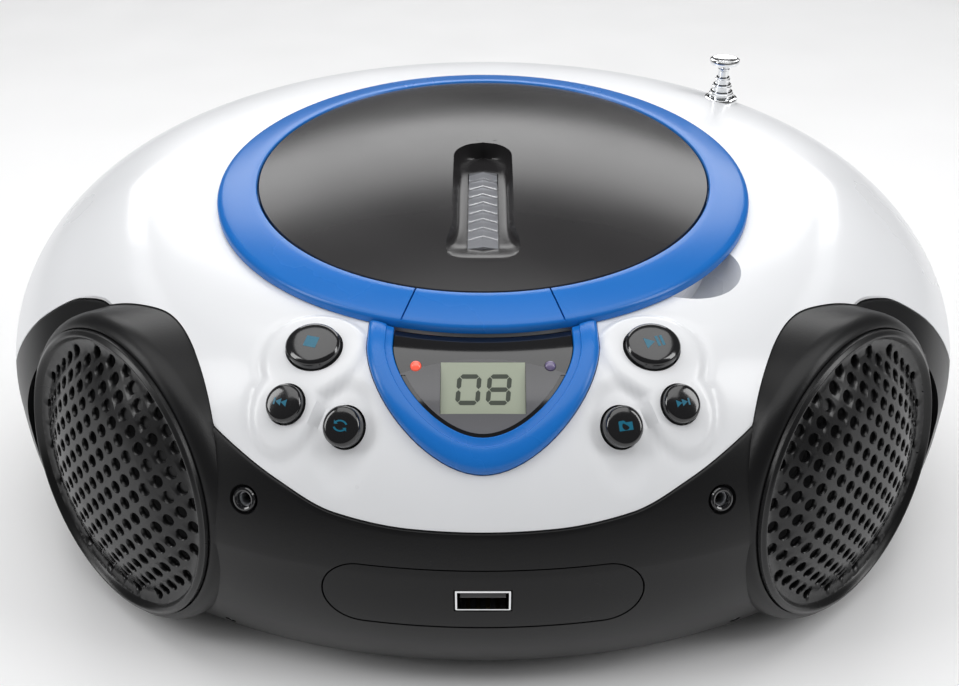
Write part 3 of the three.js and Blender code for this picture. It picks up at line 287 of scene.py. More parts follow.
def rod(radius, low, high, place=None, steps=48):
    return lathe([(0, low), (radius, low), (radius, high), (0, high)], steps, place)


def block(x0, x1, y0, y1, z0, z1, place=None, bevel=0.0):
    bm = bmesh.new()
    bmesh.ops.create_cube(bm, size=1)
    bmesh.ops.scale(bm, vec=(x1 - x0, y1 - y0, z1 - z0), verts=bm.verts)
    bmesh.ops.translate(bm, vec=((x0 + x1) / 2, (y0 + y1) / 2, (z0 + z1) / 2), verts=bm.verts)
    if bevel:
        bmesh.ops.bevel(bm, geom=bm.edges, offset=bevel, offset_type="OFFSET", segments=2, profile=0.5,
                        affect="EDGES", clamp_overlap=True, material=-1)
    if place is not None:
        bmesh.ops.transform(bm, matrix=place, verts=bm.verts)
    return bm


def prism(outline, low, high, place=None, bevel=0.0):
    """An upright prism on an outline, with an eased top edge."""
    bm = bmesh.new()
    base = bm.faces.new([bm.verts.new((x, y, low)) for x, y in outline])
    grown = bmesh.ops.extrude_face_region(bm, geom=[base])["geom"]
    top = [g for g in grown if isinstance(g, bmesh.types.BMVert)]
    bmesh.ops.translate(bm, vec=(0, 0, high - low), verts=top)
    bmesh.ops.recalc_face_normals(bm, faces=bm.faces)
    if bevel:
        edges = [e for e in bm.edges if all(v.co.z > high - 1e-4 for v in e.verts)]
        bmesh.ops.bevel(bm, geom=edges, offset=bevel, offset_type="OFFSET", segments=3, profile=0.5,
                        affect="EDGES", clamp_overlap=True, material=-1)
    if place is not None:
        bmesh.ops.transform(bm, matrix=place, verts=bm.verts)
    return bm


def oval(half_x, half_y, steps=48):
    return [(half_x * math.cos(TURN * i / steps), half_y * math.sin(TURN * i / steps)) for i in range(steps)]


def stadium(half_x, half_y, steps=16):
    straight = half_x - half_y
    right = [(straight + half_y * math.sin(math.pi * i / steps), -half_y * math.cos(math.pi * i / steps))
             for i in range(steps + 1)]
    return right + [(-x, -y) for x, y in right]


def net(columns, rows, place):
    """A sheet of columns by rows, joined round its columns, with place giving each corner."""
    bm = bmesh.new()
    bmesh.ops.create_grid(bm, x_segments=columns, y_segments=rows, size=1)
    cache = {}
    for vert in bm.verts:
        i = round((vert.co.x + 1) / 2 * columns) % columns
        j = round((vert.co.y + 1) / 2 * rows)
        if (i, j) not in cache:
            cache[i, j] = place(i, j)
        vert.co = cache[i, j]
    bmesh.ops.remove_doubles(bm, verts=bm.verts, dist=1e-3)
    bmesh.ops.recalc_face_normals(bm, faces=bm.faces)
    return bm


def holder(bm, name):
    mesh = bpy.data.meshes.new(name)
    bm.to_mesh(mesh)
    bm.free()
    item = bpy.data.objects.new(name, mesh)
    bpy.context.scene.collection.objects.link(item)
    return item


def combine(bm, tools, operation="DIFFERENCE"):
    """bm after each tool is cut from it, added to it or kept in common with it."""
    work = holder(bm, "work")
    others = []
    for tool in tools:
        other = holder(tool, "tool")
        others.append(other)
        cut = work.modifiers.new("cut", "BOOLEAN")
        cut.object = other
        cut.operation = operation
        cut.solver = "MANIFOLD"
    result = bmesh.new()
    solved = work.evaluated_get(bpy.context.evaluated_depsgraph_get())
    mesh = bpy.data.meshes.new_from_object(solved)
    result.from_mesh(mesh)
    if not result.faces:
        raise RuntimeError("a cut left nothing")
    bpy.data.meshes.remove(mesh)
    for item in [work, *others]:
        data = item.data
        bpy.data.objects.remove(item)
        bpy.data.meshes.remove(data)
    return result


def join(*parts):
    """Several shells as one mesh."""
    result = bmesh.new()
    for part in parts:
        mesh = bpy.data.meshes.new("part")
        part.to_mesh(mesh)
        part.free()
        result.from_mesh(mesh)
        bpy.data.meshes.remove(mesh)
    return result


def add_piece(bm, name, material, body, replaced=(), sharp=32, extra=()):
    """Makes the finished piece: in metres, shaded, painted and riding on its body."""
    bmesh.ops.scale(bm, vec=(MM, MM, MM), verts=bm.verts)
    for face in bm.faces:
        face.smooth = True
    for edge in bm.edges:
        edge.smooth = len(edge.link_faces) == 2 and edge.calc_face_angle(0) < sharp * DEG
    item = holder(bm, name)
    item.data.materials.append(MATERIALS[material])
    for other in extra:
        item.data.materials.append(MATERIALS[other])
    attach(item, body)
    if replaced:
        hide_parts(*replaced)
    return item


def casing_solid(inset, columns=240, rows=72):
    """The whole casing as one solid, moved inward by inset."""
    def place(i, j):
        angle = TURN * i / columns
        if j == 0:
            return LID_FRAME @ Vector((0, 0, -inset))
        if j == rows:
            return Vector((0, 0, CASING_BOTTOM + inset))
        return casing_point(angle, 2 * (j - 1) / (rows - 2), inset)
    return net(columns, rows, place)


# ---- Relief of the upper casing ----
def oval_distance(x, y, middle_x, middle_y, half_x, half_y):
    """About how far a place lies outside an oval."""
    dx, dy = x - middle_x, y - middle_y
    reach = math.hypot(dx / half_x, dy / half_y)
    return (reach - 1) * min(half_x, half_y)


def relief(point):
    """Height that the button pads and the shoulder add to the smooth casing."""
    x, y = abs(point.x), point.y
    height = 0.0
    if y < -60 and x < 60:
        large = oval_distance(x, y, 39.6, -85.0, 11.6, 10.0)
        small = oval_distance(x, y, 45.2, -94.7, 7.9, 7.2)
        pad = min(large, small)
        height += 0.75 * (1 - smooth(-0.8, 1.0, pad))
        height -= 0.25 * smooth(0.2, 1.2, pad) * (1 - smooth(1.2, 3.2, pad))
        dish = oval_distance(x, y, 31.4, -100.9, 5.4, 5.6)
        height -= 0.8 * (1 - smooth(0.0, 3.4, dish)) * smooth(-1.0, 0.6, pad)
    return height + shoulder(x, y)


CREST = ((98, 22), (104, -4), (100, -27), (92.5, -50), (82.8, -68.5), (72, -81), (62, -90))


def shoulder(x, y):
    """A soft fold where the top turns down to the sides."""
    if y > 40 or x < 45:
        return 0.0
    best, side = 1e9, 0.0
    for (x0, y0), (x1, y1) in zip(CREST, CREST[1:]):
        dx, dy = x1 - x0, y1 - y0
        s = min(max(((x - x0) * dx + (y - y0) * dy) / (dx * dx + dy * dy), 0), 1)
        gap = math.hypot(x - x0 - s * dx, y - y0 - s * dy)
        if gap < best:
            best = gap
            side = 1.0 if (x - x0) * dy - (y - y0) * dx < 0 else -1.0
            along = (math.hypot(x0 - CREST[0][0], y0 - CREST[0][1]) + s * math.hypot(dx, dy)) / 120
    fade = smooth(0.0, 0.3, along) * (1 - smooth(0.72, 0.98, along))
    inner, outer = (7.0, 16.0)
    reach = inner if side < 0 else outer
    return 0.9 * fade * (1 - smooth(0, 1, best / reach))


# ---- Casing pieces ----
def upper_shell():
    columns, rows_out, rows_in = 600, 96, 24
    seams = {}

    def place(i, j):
        angle = TURN * i / columns
        if i not in seams:
            z = seam_height(angle)
            seams[i] = (z, level(angle, z + 0.7), level(angle, z + 0.15, WALL))
        z, v_out, v_in = seams[i]
        if j == 0 or j == rows_out + rows_in + 7:
            return LID_FRAME @ Vector((LEDGE_R * math.cos(angle), LEDGE_R * math.sin(angle), 0))
        if j == 1:
            return LID_FRAME @ Vector(((RIM_R - 0.5) * math.cos(angle), (RIM_R - 0.5) * math.sin(angle), 0))
        j -= 2
        if j <= rows_out:
            v = v_out * (0.006 + 0.994 * j / rows_out)
            point = casing_point(angle, v)
            lift = relief(point)
            return point + casing_normal(angle, v) * lift if abs(lift) > 1e-5 else point
        j -= rows_out + 1
        if j == 0:
            return casing_point(angle, level(angle, z + 0.3, 0.1), 0.1)
        if j == 1:
            return casing_point(angle, level(angle, z + 0.15, 0.4), 0.4)
        j -= 2
        if j <= rows_in:
            return casing_point(angle, v_in * (1 - j / rows_in), WALL)
        return LID_FRAME @ Vector((LEDGE_R * math.cos(angle), LEDGE_R * math.sin(angle), -WALL))
    return net(columns, rows_out + rows_in + 7, place)


def knob_frame(side):
    at = wall_frame(side * 52, WIDEST_Z, 1)
    middle = at.translation + at.to_3x3() @ Vector((0, 0, 3.5 - 14))
    return Matrix.Translation((middle.x, middle.y, 62.7))


def bezel_outline(half, drop, top, steps=20):
    """Half shield outline from the top left to the lowest middle, then mirrored."""
    shoulder_s = 12
    start, end = Vector((-half, shoulder_s)), Vector((0, -drop))
    bend_a = Vector((-half * 0.96, shoulder_s - (shoulder_s + drop) * 0.46))
    bend_b = Vector((-half * 0.45, -drop))
    left = [Vector((-half, top + (shoulder_s - top) * k / 8)) for k in range(8)]
    for k in range(steps + 1):
        s = k / steps
        left.append(start * (1 - s) ** 3 + bend_a * 3 * s * (1 - s) ** 2 + bend_b * 3 * s * s * (1 - s) + end * s ** 3)
    return [tuple(p) for p in left] + [(-p.x, p.y) for p in reversed(left[:-1])]


def build_upper_casing():
    body = upper_shell()
    cuts = [rod(POD_R + GAP, -POD_DEPTH - GAP, 40, speaker_frame(side), 160) for side in (-1, 1)]
    cuts += [rod(14.8, -0.6, 6.6, knob_frame(side), 64) for side in (-1, 1)]
    cuts += [prism(oval(hx + 0.45, hy + 0.45, 64), -8, 5, plan_frame(x, y)) for _, x, y, hx, hy in BUTTONS]
    column = rod(RIM_R - 1, -30, 30, LID_FRAME, 160)
    cuts.append(combine(prism(bezel_outline(27.2, 18.4, 30), -20, 20, DISPLAY_FRAME), [column]))
    cuts.append(block(-HINGE_HALF, HINGE_HALF, LEDGE_R - 4, HINGE_V + 4.5, -6, 4, LID_FRAME))
    cuts.append(rod(5.2, 74, 114, Matrix.Translation((*ANTENNA_PLACE, 0)), 48))
    cuts.append(block(-10.3, 10.3, HALF_DEPTH - 8, HALF_DEPTH + 2, 56, 59.8))
    angle = -41.5 * DEG
    pocket = LID_FRAME @ Matrix.Translation((69 * math.cos(angle), 69 * math.sin(angle), 4))
    ball = bmesh.new()
    bmesh.ops.create_uvsphere(ball, u_segments=96, v_segments=48, radius=15)
    bmesh.ops.transform(ball, matrix=pocket, verts=ball.verts)
    cuts.append(combine(ball, [rod(LEDGE_R + 0.5, -30, 30, LID_FRAME, 160)]))
    cup = bmesh.new()
    bmesh.ops.create_uvsphere(cup, u_segments=96, v_segments=48, radius=17)
    bmesh.ops.transform(cup, matrix=pocket, verts=cup.verts)
    cup = combine(cup, [rod(70, -30, 30, LID_FRAME, 160)])
    cup = combine(cup, [casing_solid(0.4)], "INTERSECT")
    wall = block(-16.8, 16.8, LEDGE_R - 2, RIM_R + 5, -8, -1, LID_FRAME)
    body = combine(body, [cup, combine(wall, [casing_solid(0.4)], "INTERSECT")], "UNION")
    body = combine(body, cuts)
    add_piece(body, "casing_top", "white", "cabinet", ["top_shell"])


def lower_shell():
    columns, rows_out, rows_in = 480, 80, 30
    seams = {}

    def place(i, j):
        angle = TURN * i / columns
        if i not in seams:
            z = seam_height(angle)
            seams[i] = (z, level(angle, z - 0.7), level(angle, z - 0.15, WALL))
        z, v_out, v_in = seams[i]
        last = rows_out + rows_in + 6
        if j in (0, last):
            return casing_point(angle, v_in, WALL)
        if j == 1:
            return casing_point(angle, level(angle, z - 0.15, 0.4), 0.4)
        if j == 2:
            return casing_point(angle, level(angle, z - 0.3, 0.1), 0.1)
        j -= 3
        if j <= rows_out:
            s = j / rows_out
            point = casing_point(angle, v_out + (1.96 - v_out) * s)
            return point
        j -= rows_out + 1
        if j == 0:
            edge = casing_point(angle, 2)
            return Vector((edge.x * 0.992, edge.y * 0.992, CASING_BOTTOM))
        if j == 1:
            return Vector((0, 0, CASING_BOTTOM))
        j -= 2
        if j == 0:
            return Vector((0, 0, CASING_BOTTOM + WALL))
        return casing_point(angle, 2 - (2 - v_in) * (j - 1) / (rows_in - 1), WALL)
    return net(columns, rows_out + rows_in + 6, place)


def jack_frame(side):
    return plan_frame(side * 55.4, -105)


def panel_prism(grow, low=80.0, high=HALF_DEPTH + 5.0):
    upright = Matrix.Translation((0, 0, PANEL_Z)) @ Matrix.Rotation(math.pi / 2, 4, "X")
    return prism(stadium(PANEL_HALF[0] + grow, PANEL_HALF[1] + grow, 32), low, high, upright)


def usb_hole(grow):
    return block(-USB_HALF[0] - grow, USB_HALF[0] + grow, -HALF_DEPTH - 2, -HALF_DEPTH + 8,
                 PANEL_Z - USB_HALF[1] - grow, PANEL_Z + USB_HALF[1] + grow)


def build_lower_casing():
    body = lower_shell()
    above = block(-150, 150, -130, 130, CASING_BOTTOM + 0.02, 120)
    profile = [(0, -POD_DEPTH), (POD_R, -POD_DEPTH), (POD_R, -4.6), (41.6, -3.0), (41.1, -1.6), (40.4, -0.6),
               (39.5, 0), (38.9, 0.15), (0, 0.15)]
    pods = [combine(lathe(profile, 160, speaker_frame(side)), [block(-150, 150, -130, 130, -20, CASING_BOTTOM + 0.02)])
            for side in (-1, 1)]
    above.free()
    walls = block(-78, 78, -4, 56, CASING_BOTTOM + 0.3, 38)
    slab = block(-82, 82, -8, 69, CASING_BOTTOM + 0.3, CASING_BOTTOM + 4.5)
    posts = [rod(6, 6, 15.7, Matrix.Translation((*ANTENNA_PLACE, 0)), 24)]
    body = combine(body, [*pods, walls, slab, *posts], "UNION")
    cuts = []
    for side in (-1, 1):
        at = speaker_frame(side)
        cuts += [rod(GRILLE_R + GAP, -3, 40, at, 160), rod(CONE_R + 2, -POD_DEPTH - 5, 0, at, 64),
                 rod(CONE_R + 6, -POD_DEPTH - 5, -6, at, 64)]
        at = jack_frame(side)
        cuts += [lathe([(0, -0.9), (3.3, -0.9), (3.9, 0.6), (3.9, 5), (0, 5)], 48, at), rod(3.2, -8, 5, at),
                 rod(4.7, -14, -3, at)]
        dot = wall_frame(side * 65, 11.6, -1)
        cuts.append(rod(1.5, -0.9, 3, dot, 24))
    cuts.append(block(-76, 76, -2, 54, 0, 36))
    cuts.append(block(-76.3, 76.3, -4.3, 66.3, 0, CASING_BOTTOM + 2.5))
    cuts.append(block(-78.3, 78.3, -4.3, 66.3, CASING_BOTTOM + 0.9, CASING_BOTTOM + 2.5))
    band = combine(casing_solid(-1), [casing_solid(1.7)])
    cuts.append(combine(panel_prism(GAP), [band], "INTERSECT"))
    cuts.append(usb_hole(GAP))
    inlet = wall_frame(0, 24, 1)
    cuts.append(prism(stadium(11.3, 6.3), -8, 5, inlet))
    body = combine(body, cuts)
    add_piece(body, "casing_base", "black", "cabinet", ["base_shell"])
    for side, name in ((-1, "left"), (1, "right")):
        screw = lathe([(0, -0.2), (0.5, -0.2), (0.9, -0.45), (1.2, -0.5), (1.2, -1.2), (0, -1.2)], 24,
                      wall_frame(side * 65, 11.6, -1))
        add_piece(screw, f"base_screw_{name}", "steel", "cabinet")


# ---- Grilles ----
GRILLE_SHAPE = curve_through(((0, 7.0), (9.6, 6.55), (19.2, 5.0), (26, 2.7), (31, 0.5), (33.5, -0.4), (35.6, 0.2),
                              (37.1, 1.9), (38.5, 1.2)))


def grille_cell(x, y, pitch, pierced):
    """One square of the grille's plate, with or without its hole."""
    half, sides = pitch / 2, 16
    square = []
    for k in range(sides):
        angle = TURN * (k + 0.0) / sides
        c, s = math.cos(angle), math.sin(angle)
        reach = half / max(abs(c), abs(s))
        square.append((x + c * reach, y + s * reach))
    bm = bmesh.new()
    thick = 1.2
    top = [bm.verts.new((px, py, 0)) for px, py in square]
    low = [bm.verts.new((px, py, -thick)) for px, py in square]
    rings = [top]
    steps = ((1.72, 0.0), (1.5, -0.28), (1.5, -thick)) if pierced else ((1.72, 0.0), (0.8, 0.0))
    for radius, z in steps:
        rings.append([bm.verts.new((x + radius * math.cos(TURN * k / sides), y + radius * math.sin(TURN * k / sides), z))
                      for k in range(sides)])
    if pierced:
        rings.append(low)
    else:
        bm.faces.new(rings[-1])
        bm.faces.new(list(reversed(low)))
    for a, b in zip(rings, rings[1:]):
        edges = []
        for loop in (a, b):
            for k in range(sides):
                pair = (loop[k], loop[(k + 1) % sides])
                edges.append(bm.edges.get(pair) or bm.edges.new(pair))
        bmesh.ops.bridge_loops(bm, edges=edges)
    return bm


def grille_mesh():
    """The domed, perforated grille, about its own axis."""
    pitch, span, reach = 4.55, 8, 35.8
    turn = Matrix.Rotation(45 * DEG, 4, "Z")
    parts = []
    for i in range(-span, span + 1):
        for k in range(-span, span + 1):
            x, y = i * pitch, k * pitch
            distance = math.hypot(x, y)
            if distance - pitch * 0.7 < reach:
                parts.append(grille_cell(x, y, pitch, distance < 33.7))
    plate = join(*parts)
    bmesh.ops.remove_doubles(plate, verts=plate.verts, dist=0.02)
    border = [e for e in plate.edges if len(e.link_faces) == 1]
    tops = {tuple(round(c, 2) for c in v.co.xy): v for e in border for v in e.verts if v.co.z > -0.1}
    lows = {tuple(round(c, 2) for c in v.co.xy): v for e in border for v in e.verts if v.co.z < -0.1}
    for edge in border:
        a, b = edge.verts
        if a.co.z > -0.1:
            ka, kb = (tuple(round(c, 2) for c in v.co.xy) for v in (a, b))
            plate.faces.new((tops[ka], tops[kb], lows[kb], lows[ka]))
    bmesh.ops.recalc_face_normals(plate, faces=plate.faces)
    bmesh.ops.transform(plate, matrix=turn, verts=plate.verts)
    for vert in plate.verts:
        excess = vert.co.xy.length / reach
        if excess > 1:
            vert.co.x /= excess
            vert.co.y /= excess
        vert.co.z += GRILLE_SHAPE(vert.co.xy.length)
    bmesh.ops.remove_doubles(plate, verts=plate.verts, dist=0.01)
    radii = [reach - 0.25 + (GRILLE_R - reach + 0.25) * k / 16 for k in range(17)]
    rim = [(r, GRILLE_SHAPE(r)) for r in radii]
    profile = rim + [(GRILLE_R, -2.7), (reach - 2, -2.7), (reach - 2, -1.9), (radii[0], -1.9), rim[0]]
    return join(plate, lathe(profile, 160))


def build_grilles():
    for side, name in ((-1, "left"), (1, "right")):
        mesh = grille_mesh()
        bmesh.ops.transform(mesh, matrix=speaker_frame(side), verts=mesh.verts)
        add_piece(mesh, f"grille_{name}", "grille", "cabinet", [f"{name}_speaker_grille"], 40)


# ---- Lid ----
def build_lid_ring():
    seat = PLATE_BOTTOM - GAP
    top = [(RING_OUTER, 0.3), (RING_OUTER, 1.7), (RING_OUTER - 0.25, 2.3), (RING_OUTER - 0.8, 2.7),
           (RING_OUTER - 1.8, 3.0), (72, 3.45), (69, 4.15), (66.4, 4.62), (65.2, 4.72), (64.6, 4.6), (RING_INNER, 4.2)]
    profile = top + [(RING_INNER, seat), (61.3, seat), (61.3, seat - 1.4), (RING_OUTER - 4, 0.3), (RING_OUTER, 0.3)]
    body = lathe(profile, 240, LID_FRAME)
    barrels = []
    pin = LID_FRAME @ Matrix.Translation((0, HINGE_V, -HINGE_DROP)) @ Matrix.Rotation(math.pi / 2, 4, "Y")
    for low, high in ((-12.8, -8.4), (8.4, 12.8)):
        barrels.append(rod(1.9, low, high, pin, 32))
        barrels.append(block(low, high, HINGE_V - 1.9, HINGE_V + 1.9, -HINGE_DROP, 0.8, LID_FRAME))
    body = combine(body, barrels, "UNION")
    cuts = [rod(1.1, -13.5, 13.5, pin, 24)]
    opened = LID_FRAME @ Matrix.Translation((0, HINGE_V, -HINGE_DROP)) @ Matrix.Rotation(60 * DEG, 4, "X")
    for low, high in ((-26, -12.9), (12.9, 26)):
        cuts.append(block(low, high, -8, 20, -20, HINGE_DROP + 0.1, opened))
    for side in (-1, 1):
        path = [(15.6, -61), (16.6, -65), (18.0, -69.5), (20.4, -77)]
        line = [(side * x, v) for x, v in path] + [(side * (x + 0.45), v) for x, v in reversed(path)]
        cuts.append(prism(line, 2.2, 8, LID_FRAME))
    body = combine(body, cuts)
    add_piece(body, "lid_blue_ring", "blue", "lid", ["lid_ring"])


def scoop_half(v):
    """Half width of the lid's scoop along its length."""
    arch = 1 - SCOOP_HALF
    if v > arch:
        return math.sqrt(max(SCOOP_HALF ** 2 - (v - arch) ** 2, 0))
    return SCOOP_HALF + 3.6 * smooth(-34, -54, v) ** 1.5


def scoop_floor(v):
    """Height of the scoop's floor: level with the window, then up to the lid's own surface."""
    dome = PLATE_EDGE + PLATE_DOME * (1 - (v / PLATE_R) ** 2)
    floor = SCOOP_FLOOR + math.tan(SCOOP_SLOPE) * v
    share = smooth(-44, -56, v)
    return floor * (1 - share) + (dome + 0.4) * share


def scoop_tool():
    columns, rows = 40, 72
    near, far = 0.999, -57.0

    def place(i, j):
        v = near + (far - near) * (j / rows)
        half, floor = max(scoop_half(v), 0.02), scoop_floor(v)
        if i >= columns // 2:
            share = (i - columns // 2) / (columns - columns // 2)
            return LID_FRAME @ Vector(((half + 0.9) * (1 - 2 * share), v, 22))
        share = i / (columns // 2)
        across = -math.cos(share * math.pi)
        rise = 1 - (1 - abs(across) ** 7) ** (1 / 3)
        wide = half * across * (1 + 0.1 * rise)
        return LID_FRAME @ Vector((wide, v, floor + 7.5 * rise))
    bm = net(columns, rows, place)
    edges = [e for e in bm.edges if len(e.link_faces) == 1]
    bmesh.ops.holes_fill(bm, edges=edges, sides=0)
    bmesh.ops.recalc_face_normals(bm, faces=bm.faces)
    return bm


def plate_profile(top, edge, bottom, radius, ease):
    points = [(0, bottom), (radius, bottom), (radius, edge - ease)]
    steps = 40
    for k in range(steps + 1):
        r = (radius - ease * 0.6) * (1 - k / steps)
        points.append((r, edge + (top - edge) * (1 - (r / radius) ** 2)))
    return points


def build_lid_plate():
    top = PLATE_EDGE + PLATE_DOME
    full = lathe(plate_profile(top, PLATE_EDGE, PLATE_BOTTOM, PLATE_R, 0.5), 240, LID_FRAME)
    hollow = lathe(plate_profile(top - 2, PLATE_EDGE - 2.1, PLATE_BOTTOM - 1, PLATE_R - 2.5, 0.1), 120, LID_FRAME)
    slope = LID_FRAME @ Matrix.Translation((0, 0, SCOOP_FLOOR)) @ Matrix.Rotation(SCOOP_SLOPE, 4, "X")
    floor = block(-9.4, 9.4, -57, 2.4, -2, 8, slope)
    floor = combine(floor, [lathe(plate_profile(top, PLATE_EDGE, PLATE_BOTTOM, PLATE_R, 0.5), 240, LID_FRAME)],
                    "INTERSECT")
    cup = lathe([(13.6, -1.9), (15.4, -1.9), (15.4, 6.6), (13.6, 6.6), (13.6, -1.9)], 64, LID_FRAME)
    roof = rod(15.4, 4.4, 6.6, LID_FRAME, 64)
    lip = lathe([(11.3, -1.9), (14.4, -1.9), (14.4, -0.9), (11.3, -0.9), (11.3, -1.9)], 64, LID_FRAME)
    body = combine(full, [hollow])
    body = combine(body, [floor, cup, roof, lip], "UNION")
    slot = block(-WINDOW_HALF - 0.3, WINDOW_HALF + 0.3, WINDOW_TO - 0.3, WINDOW_FROM + 0.3, -1.7, 2, slope)
    pane = block(-WINDOW_HALF + 0.8, WINDOW_HALF - 0.8, WINDOW_TO + 0.8, -17, -6, 2, slope)
    body = combine(body, [scoop_tool(), slot, pane])
    add_piece(body, "lid_dark_plate", "lid_dark", "lid", ["lid_plate"])
    build_window(slope)


def build_window(slope):
    """A clear bar cut into slanting facets."""
    facets = 9
    length = WINDOW_FROM - WINDOW_TO
    bm = bmesh.new()
    bmesh.ops.create_grid(bm, x_segments=2, y_segments=2 * facets, size=1)
    for vert in bm.verts:
        i, j = round(vert.co.x + 1), round((vert.co.y + 1) * facets)
        ridge = 0.95 if i == 1 else 0.35
        lean = 1.1 if i == 1 else 0.0
        y = WINDOW_TO + length * j / (2 * facets) + (lean if 0 < j < 2 * facets else 0)
        z = ridge + (0.45 if j % 2 else 0.0)
        vert.co = ((i - 1) * WINDOW_HALF, y, z)
    grown = bmesh.ops.extrude_face_region(bm, geom=bm.faces[:])["geom"]
    for vert in [g for g in grown if isinstance(g, bmesh.types.BMVert)]:
        vert.co.z = -1.6
    bmesh.ops.recalc_face_normals(bm, faces=bm.faces)
    bmesh.ops.transform(bm, matrix=slope, verts=bm.verts)
    add_piece(bm, "lid_cut_window", "crystal", "lid", ["lid_window"], 5)


# ---- Display ----
def casing_height(x, s):
    """Height of the casing over the display's plane."""
    w, step = 0.0, 0.01

    def miss(height):
        point = DISPLAY_FRAME @ Vector((x, s, height))
        return point.z - surface(point.x, point.y)[0].z
    for _ in range(4):
        here = miss(w)
        slope = (miss(w + step) - here) / step
        w -= here / slope
    return w


def build_bezel():
    outer = bezel_outline(27, 18.2, 26, 28)
    inner = bezel_outline(21, 10.3, 26, 28)
    section = ((0.0, -2.4), (0.0, 0.5), (0.02, 1.0), (0.07, 1.5), (0.16, 1.8), (0.3, 1.9), (0.5, 1.8), (0.66, 1.55),
               (0.70, 1.45), (0.725, 1.0), (0.76, 0.9), (0.97, 0.75), (1.0, 0.5), (1.0, -2.4))
    count = len(outer) - 1
    heights = {}

    def place(i, j):
        share, rise = section[i]
        x = outer[j][0] + (inner[j][0] - outer[j][0]) * share
        s = outer[j][1] + (inner[j][1] - outer[j][1]) * share
        key = (j, share)
        if key not in heights:
            heights[key] = casing_height(x, s)
        return DISPLAY_FRAME @ Vector((x, s, heights[key] + rise))
    bm = net(len(section), count, place)
    bmesh.ops.holes_fill(bm, edges=[e for e in bm.edges if len(e.link_faces) == 1], sides=0)
    bmesh.ops.recalc_face_normals(bm, faces=bm.faces)
    bm = combine(bm, [rod(RIM_R + 0.15, -30, 30, LID_FRAME, 200)])
    add_piece(bm, "display_blue_frame", "blue", "cabinet", ["display_bezel"], 30)


def display_skin(outline, top_inset, low_inset, cuts):
    body = prism(outline, -20, 20, DISPLAY_FRAME)
    body = combine(body, [casing_solid(top_inset)], "INTERSECT")
    return combine(body, [casing_solid(low_inset), rod(RIM_R + 0.15, -30, 30, LID_FRAME, 200), *cuts])


def lamp_holes():
    return [rod(1.35, -10, 10, DISPLAY_FRAME @ Matrix.Translation((x, 6.8, 0)), 32) for x in (-15.4, 15.4)]


def screen_hole(grow=0.0):
    return block(-9.7 - grow, 9.7 + grow, -4.8 - grow, 7.6 + grow, -12, 12, DISPLAY_FRAME)


def build_display():
    lens = display_skin(bezel_outline(20.8, 10.1, 30, 28), 0.3, 1.6, [screen_hole(), *lamp_holes()])
    add_piece(lens, "display_gloss_lens", "gloss", "cabinet", ["display_lens"])
    arc = [(x, 8.4 - 3.6 * (x / 19.2) ** 2) for x in [19.6 * (1 - k / 16) for k in range(33)]]
    low = [p for p in bezel_outline(19.9, 9.3, 30, 28) if p[1] < 8.4 - 3.6 * (p[0] / 19.2) ** 2 - 0.4]
    panel = display_skin(low + arc, 0.12, 0.9, [screen_hole(), *lamp_holes()])
    add_piece(panel, "display_grey_panel", "panel_grey", "cabinet")
    screen = block(-12, 12, -6.5, 9, -5.2, -1.75, DISPLAY_FRAME)
    edge = casing_height(0, 1.4)
    screen = block(-9.65, 9.65, -4.75, 7.55, edge - 4.8, edge - 1.25, DISPLAY_FRAME)
    add_piece(screen, "display_screen", "lcd", "cabinet", ["lcd_panel"])
    top = DISPLAY_FRAME @ Matrix.Translation((0, 0, edge - 1.25))
    digits = join(*(segment for x, lit in ((-3.3, "abcdef"), (3.6, "abcdefg")) for segment in digit(x, 1.1, lit, top)))
    add_piece(digits, "display_digits", "lcd_ink", "cabinet")
    for x, name, tint in ((-15.4, "power_led", "lamp_red"), (15.4, "stereo_led", "lamp_violet")):
        rise = casing_height(x, 6.8)
        lamp = lathe([(0, -9), (1.25, -9), (1.25, rise - 0.2), (1.05, rise + 0.12), (0.65, rise + 0.34),
                      (0, rise + 0.42)], 32, DISPLAY_FRAME @ Matrix.Translation((x, 6.8, 0)))
        add_piece(lamp, name + "_dome", tint, "cabinet", [name])


def digit(x, y, lit, place):
    """A seven-bar number, leaning a little."""
    wide, tall, thick, lean = 2.25, 3.1, 0.52, 0.08
    bars = {"a": (0, tall, 0), "g": (0, 0, 0), "d": (0, -tall, 0), "b": (wide, tall / 2, 1), "c": (wide, -tall / 2, 1),
            "e": (-wide, -tall / 2, 1), "f": (-wide, tall / 2, 1)}
    pieces = []
    for name in lit:
        cx, cy, upright = bars[name]
        half = (tall / 2 if upright else wide) - 0.12
        shape = [(-half, 0), (-half + thick, thick), (half - thick, thick), (half, 0), (half - thick, -thick),
                 (-half + thick, -thick)]
        if upright:
            shape = [(v, -u) for u, v in shape]
        shape = [(x + cx + u + lean * (cy + v), y + cy + v) for u, v in shape]
        pieces.append(prism(shape, -0.02, 0.04, place))
    return pieces


# ---- Buttons ----
def button_top(reach):
    """Height of a button's face from its middle to its edge."""
    return BUTTON_PROUD - 0.35 * reach ** 2 - 0.75 * reach ** 12


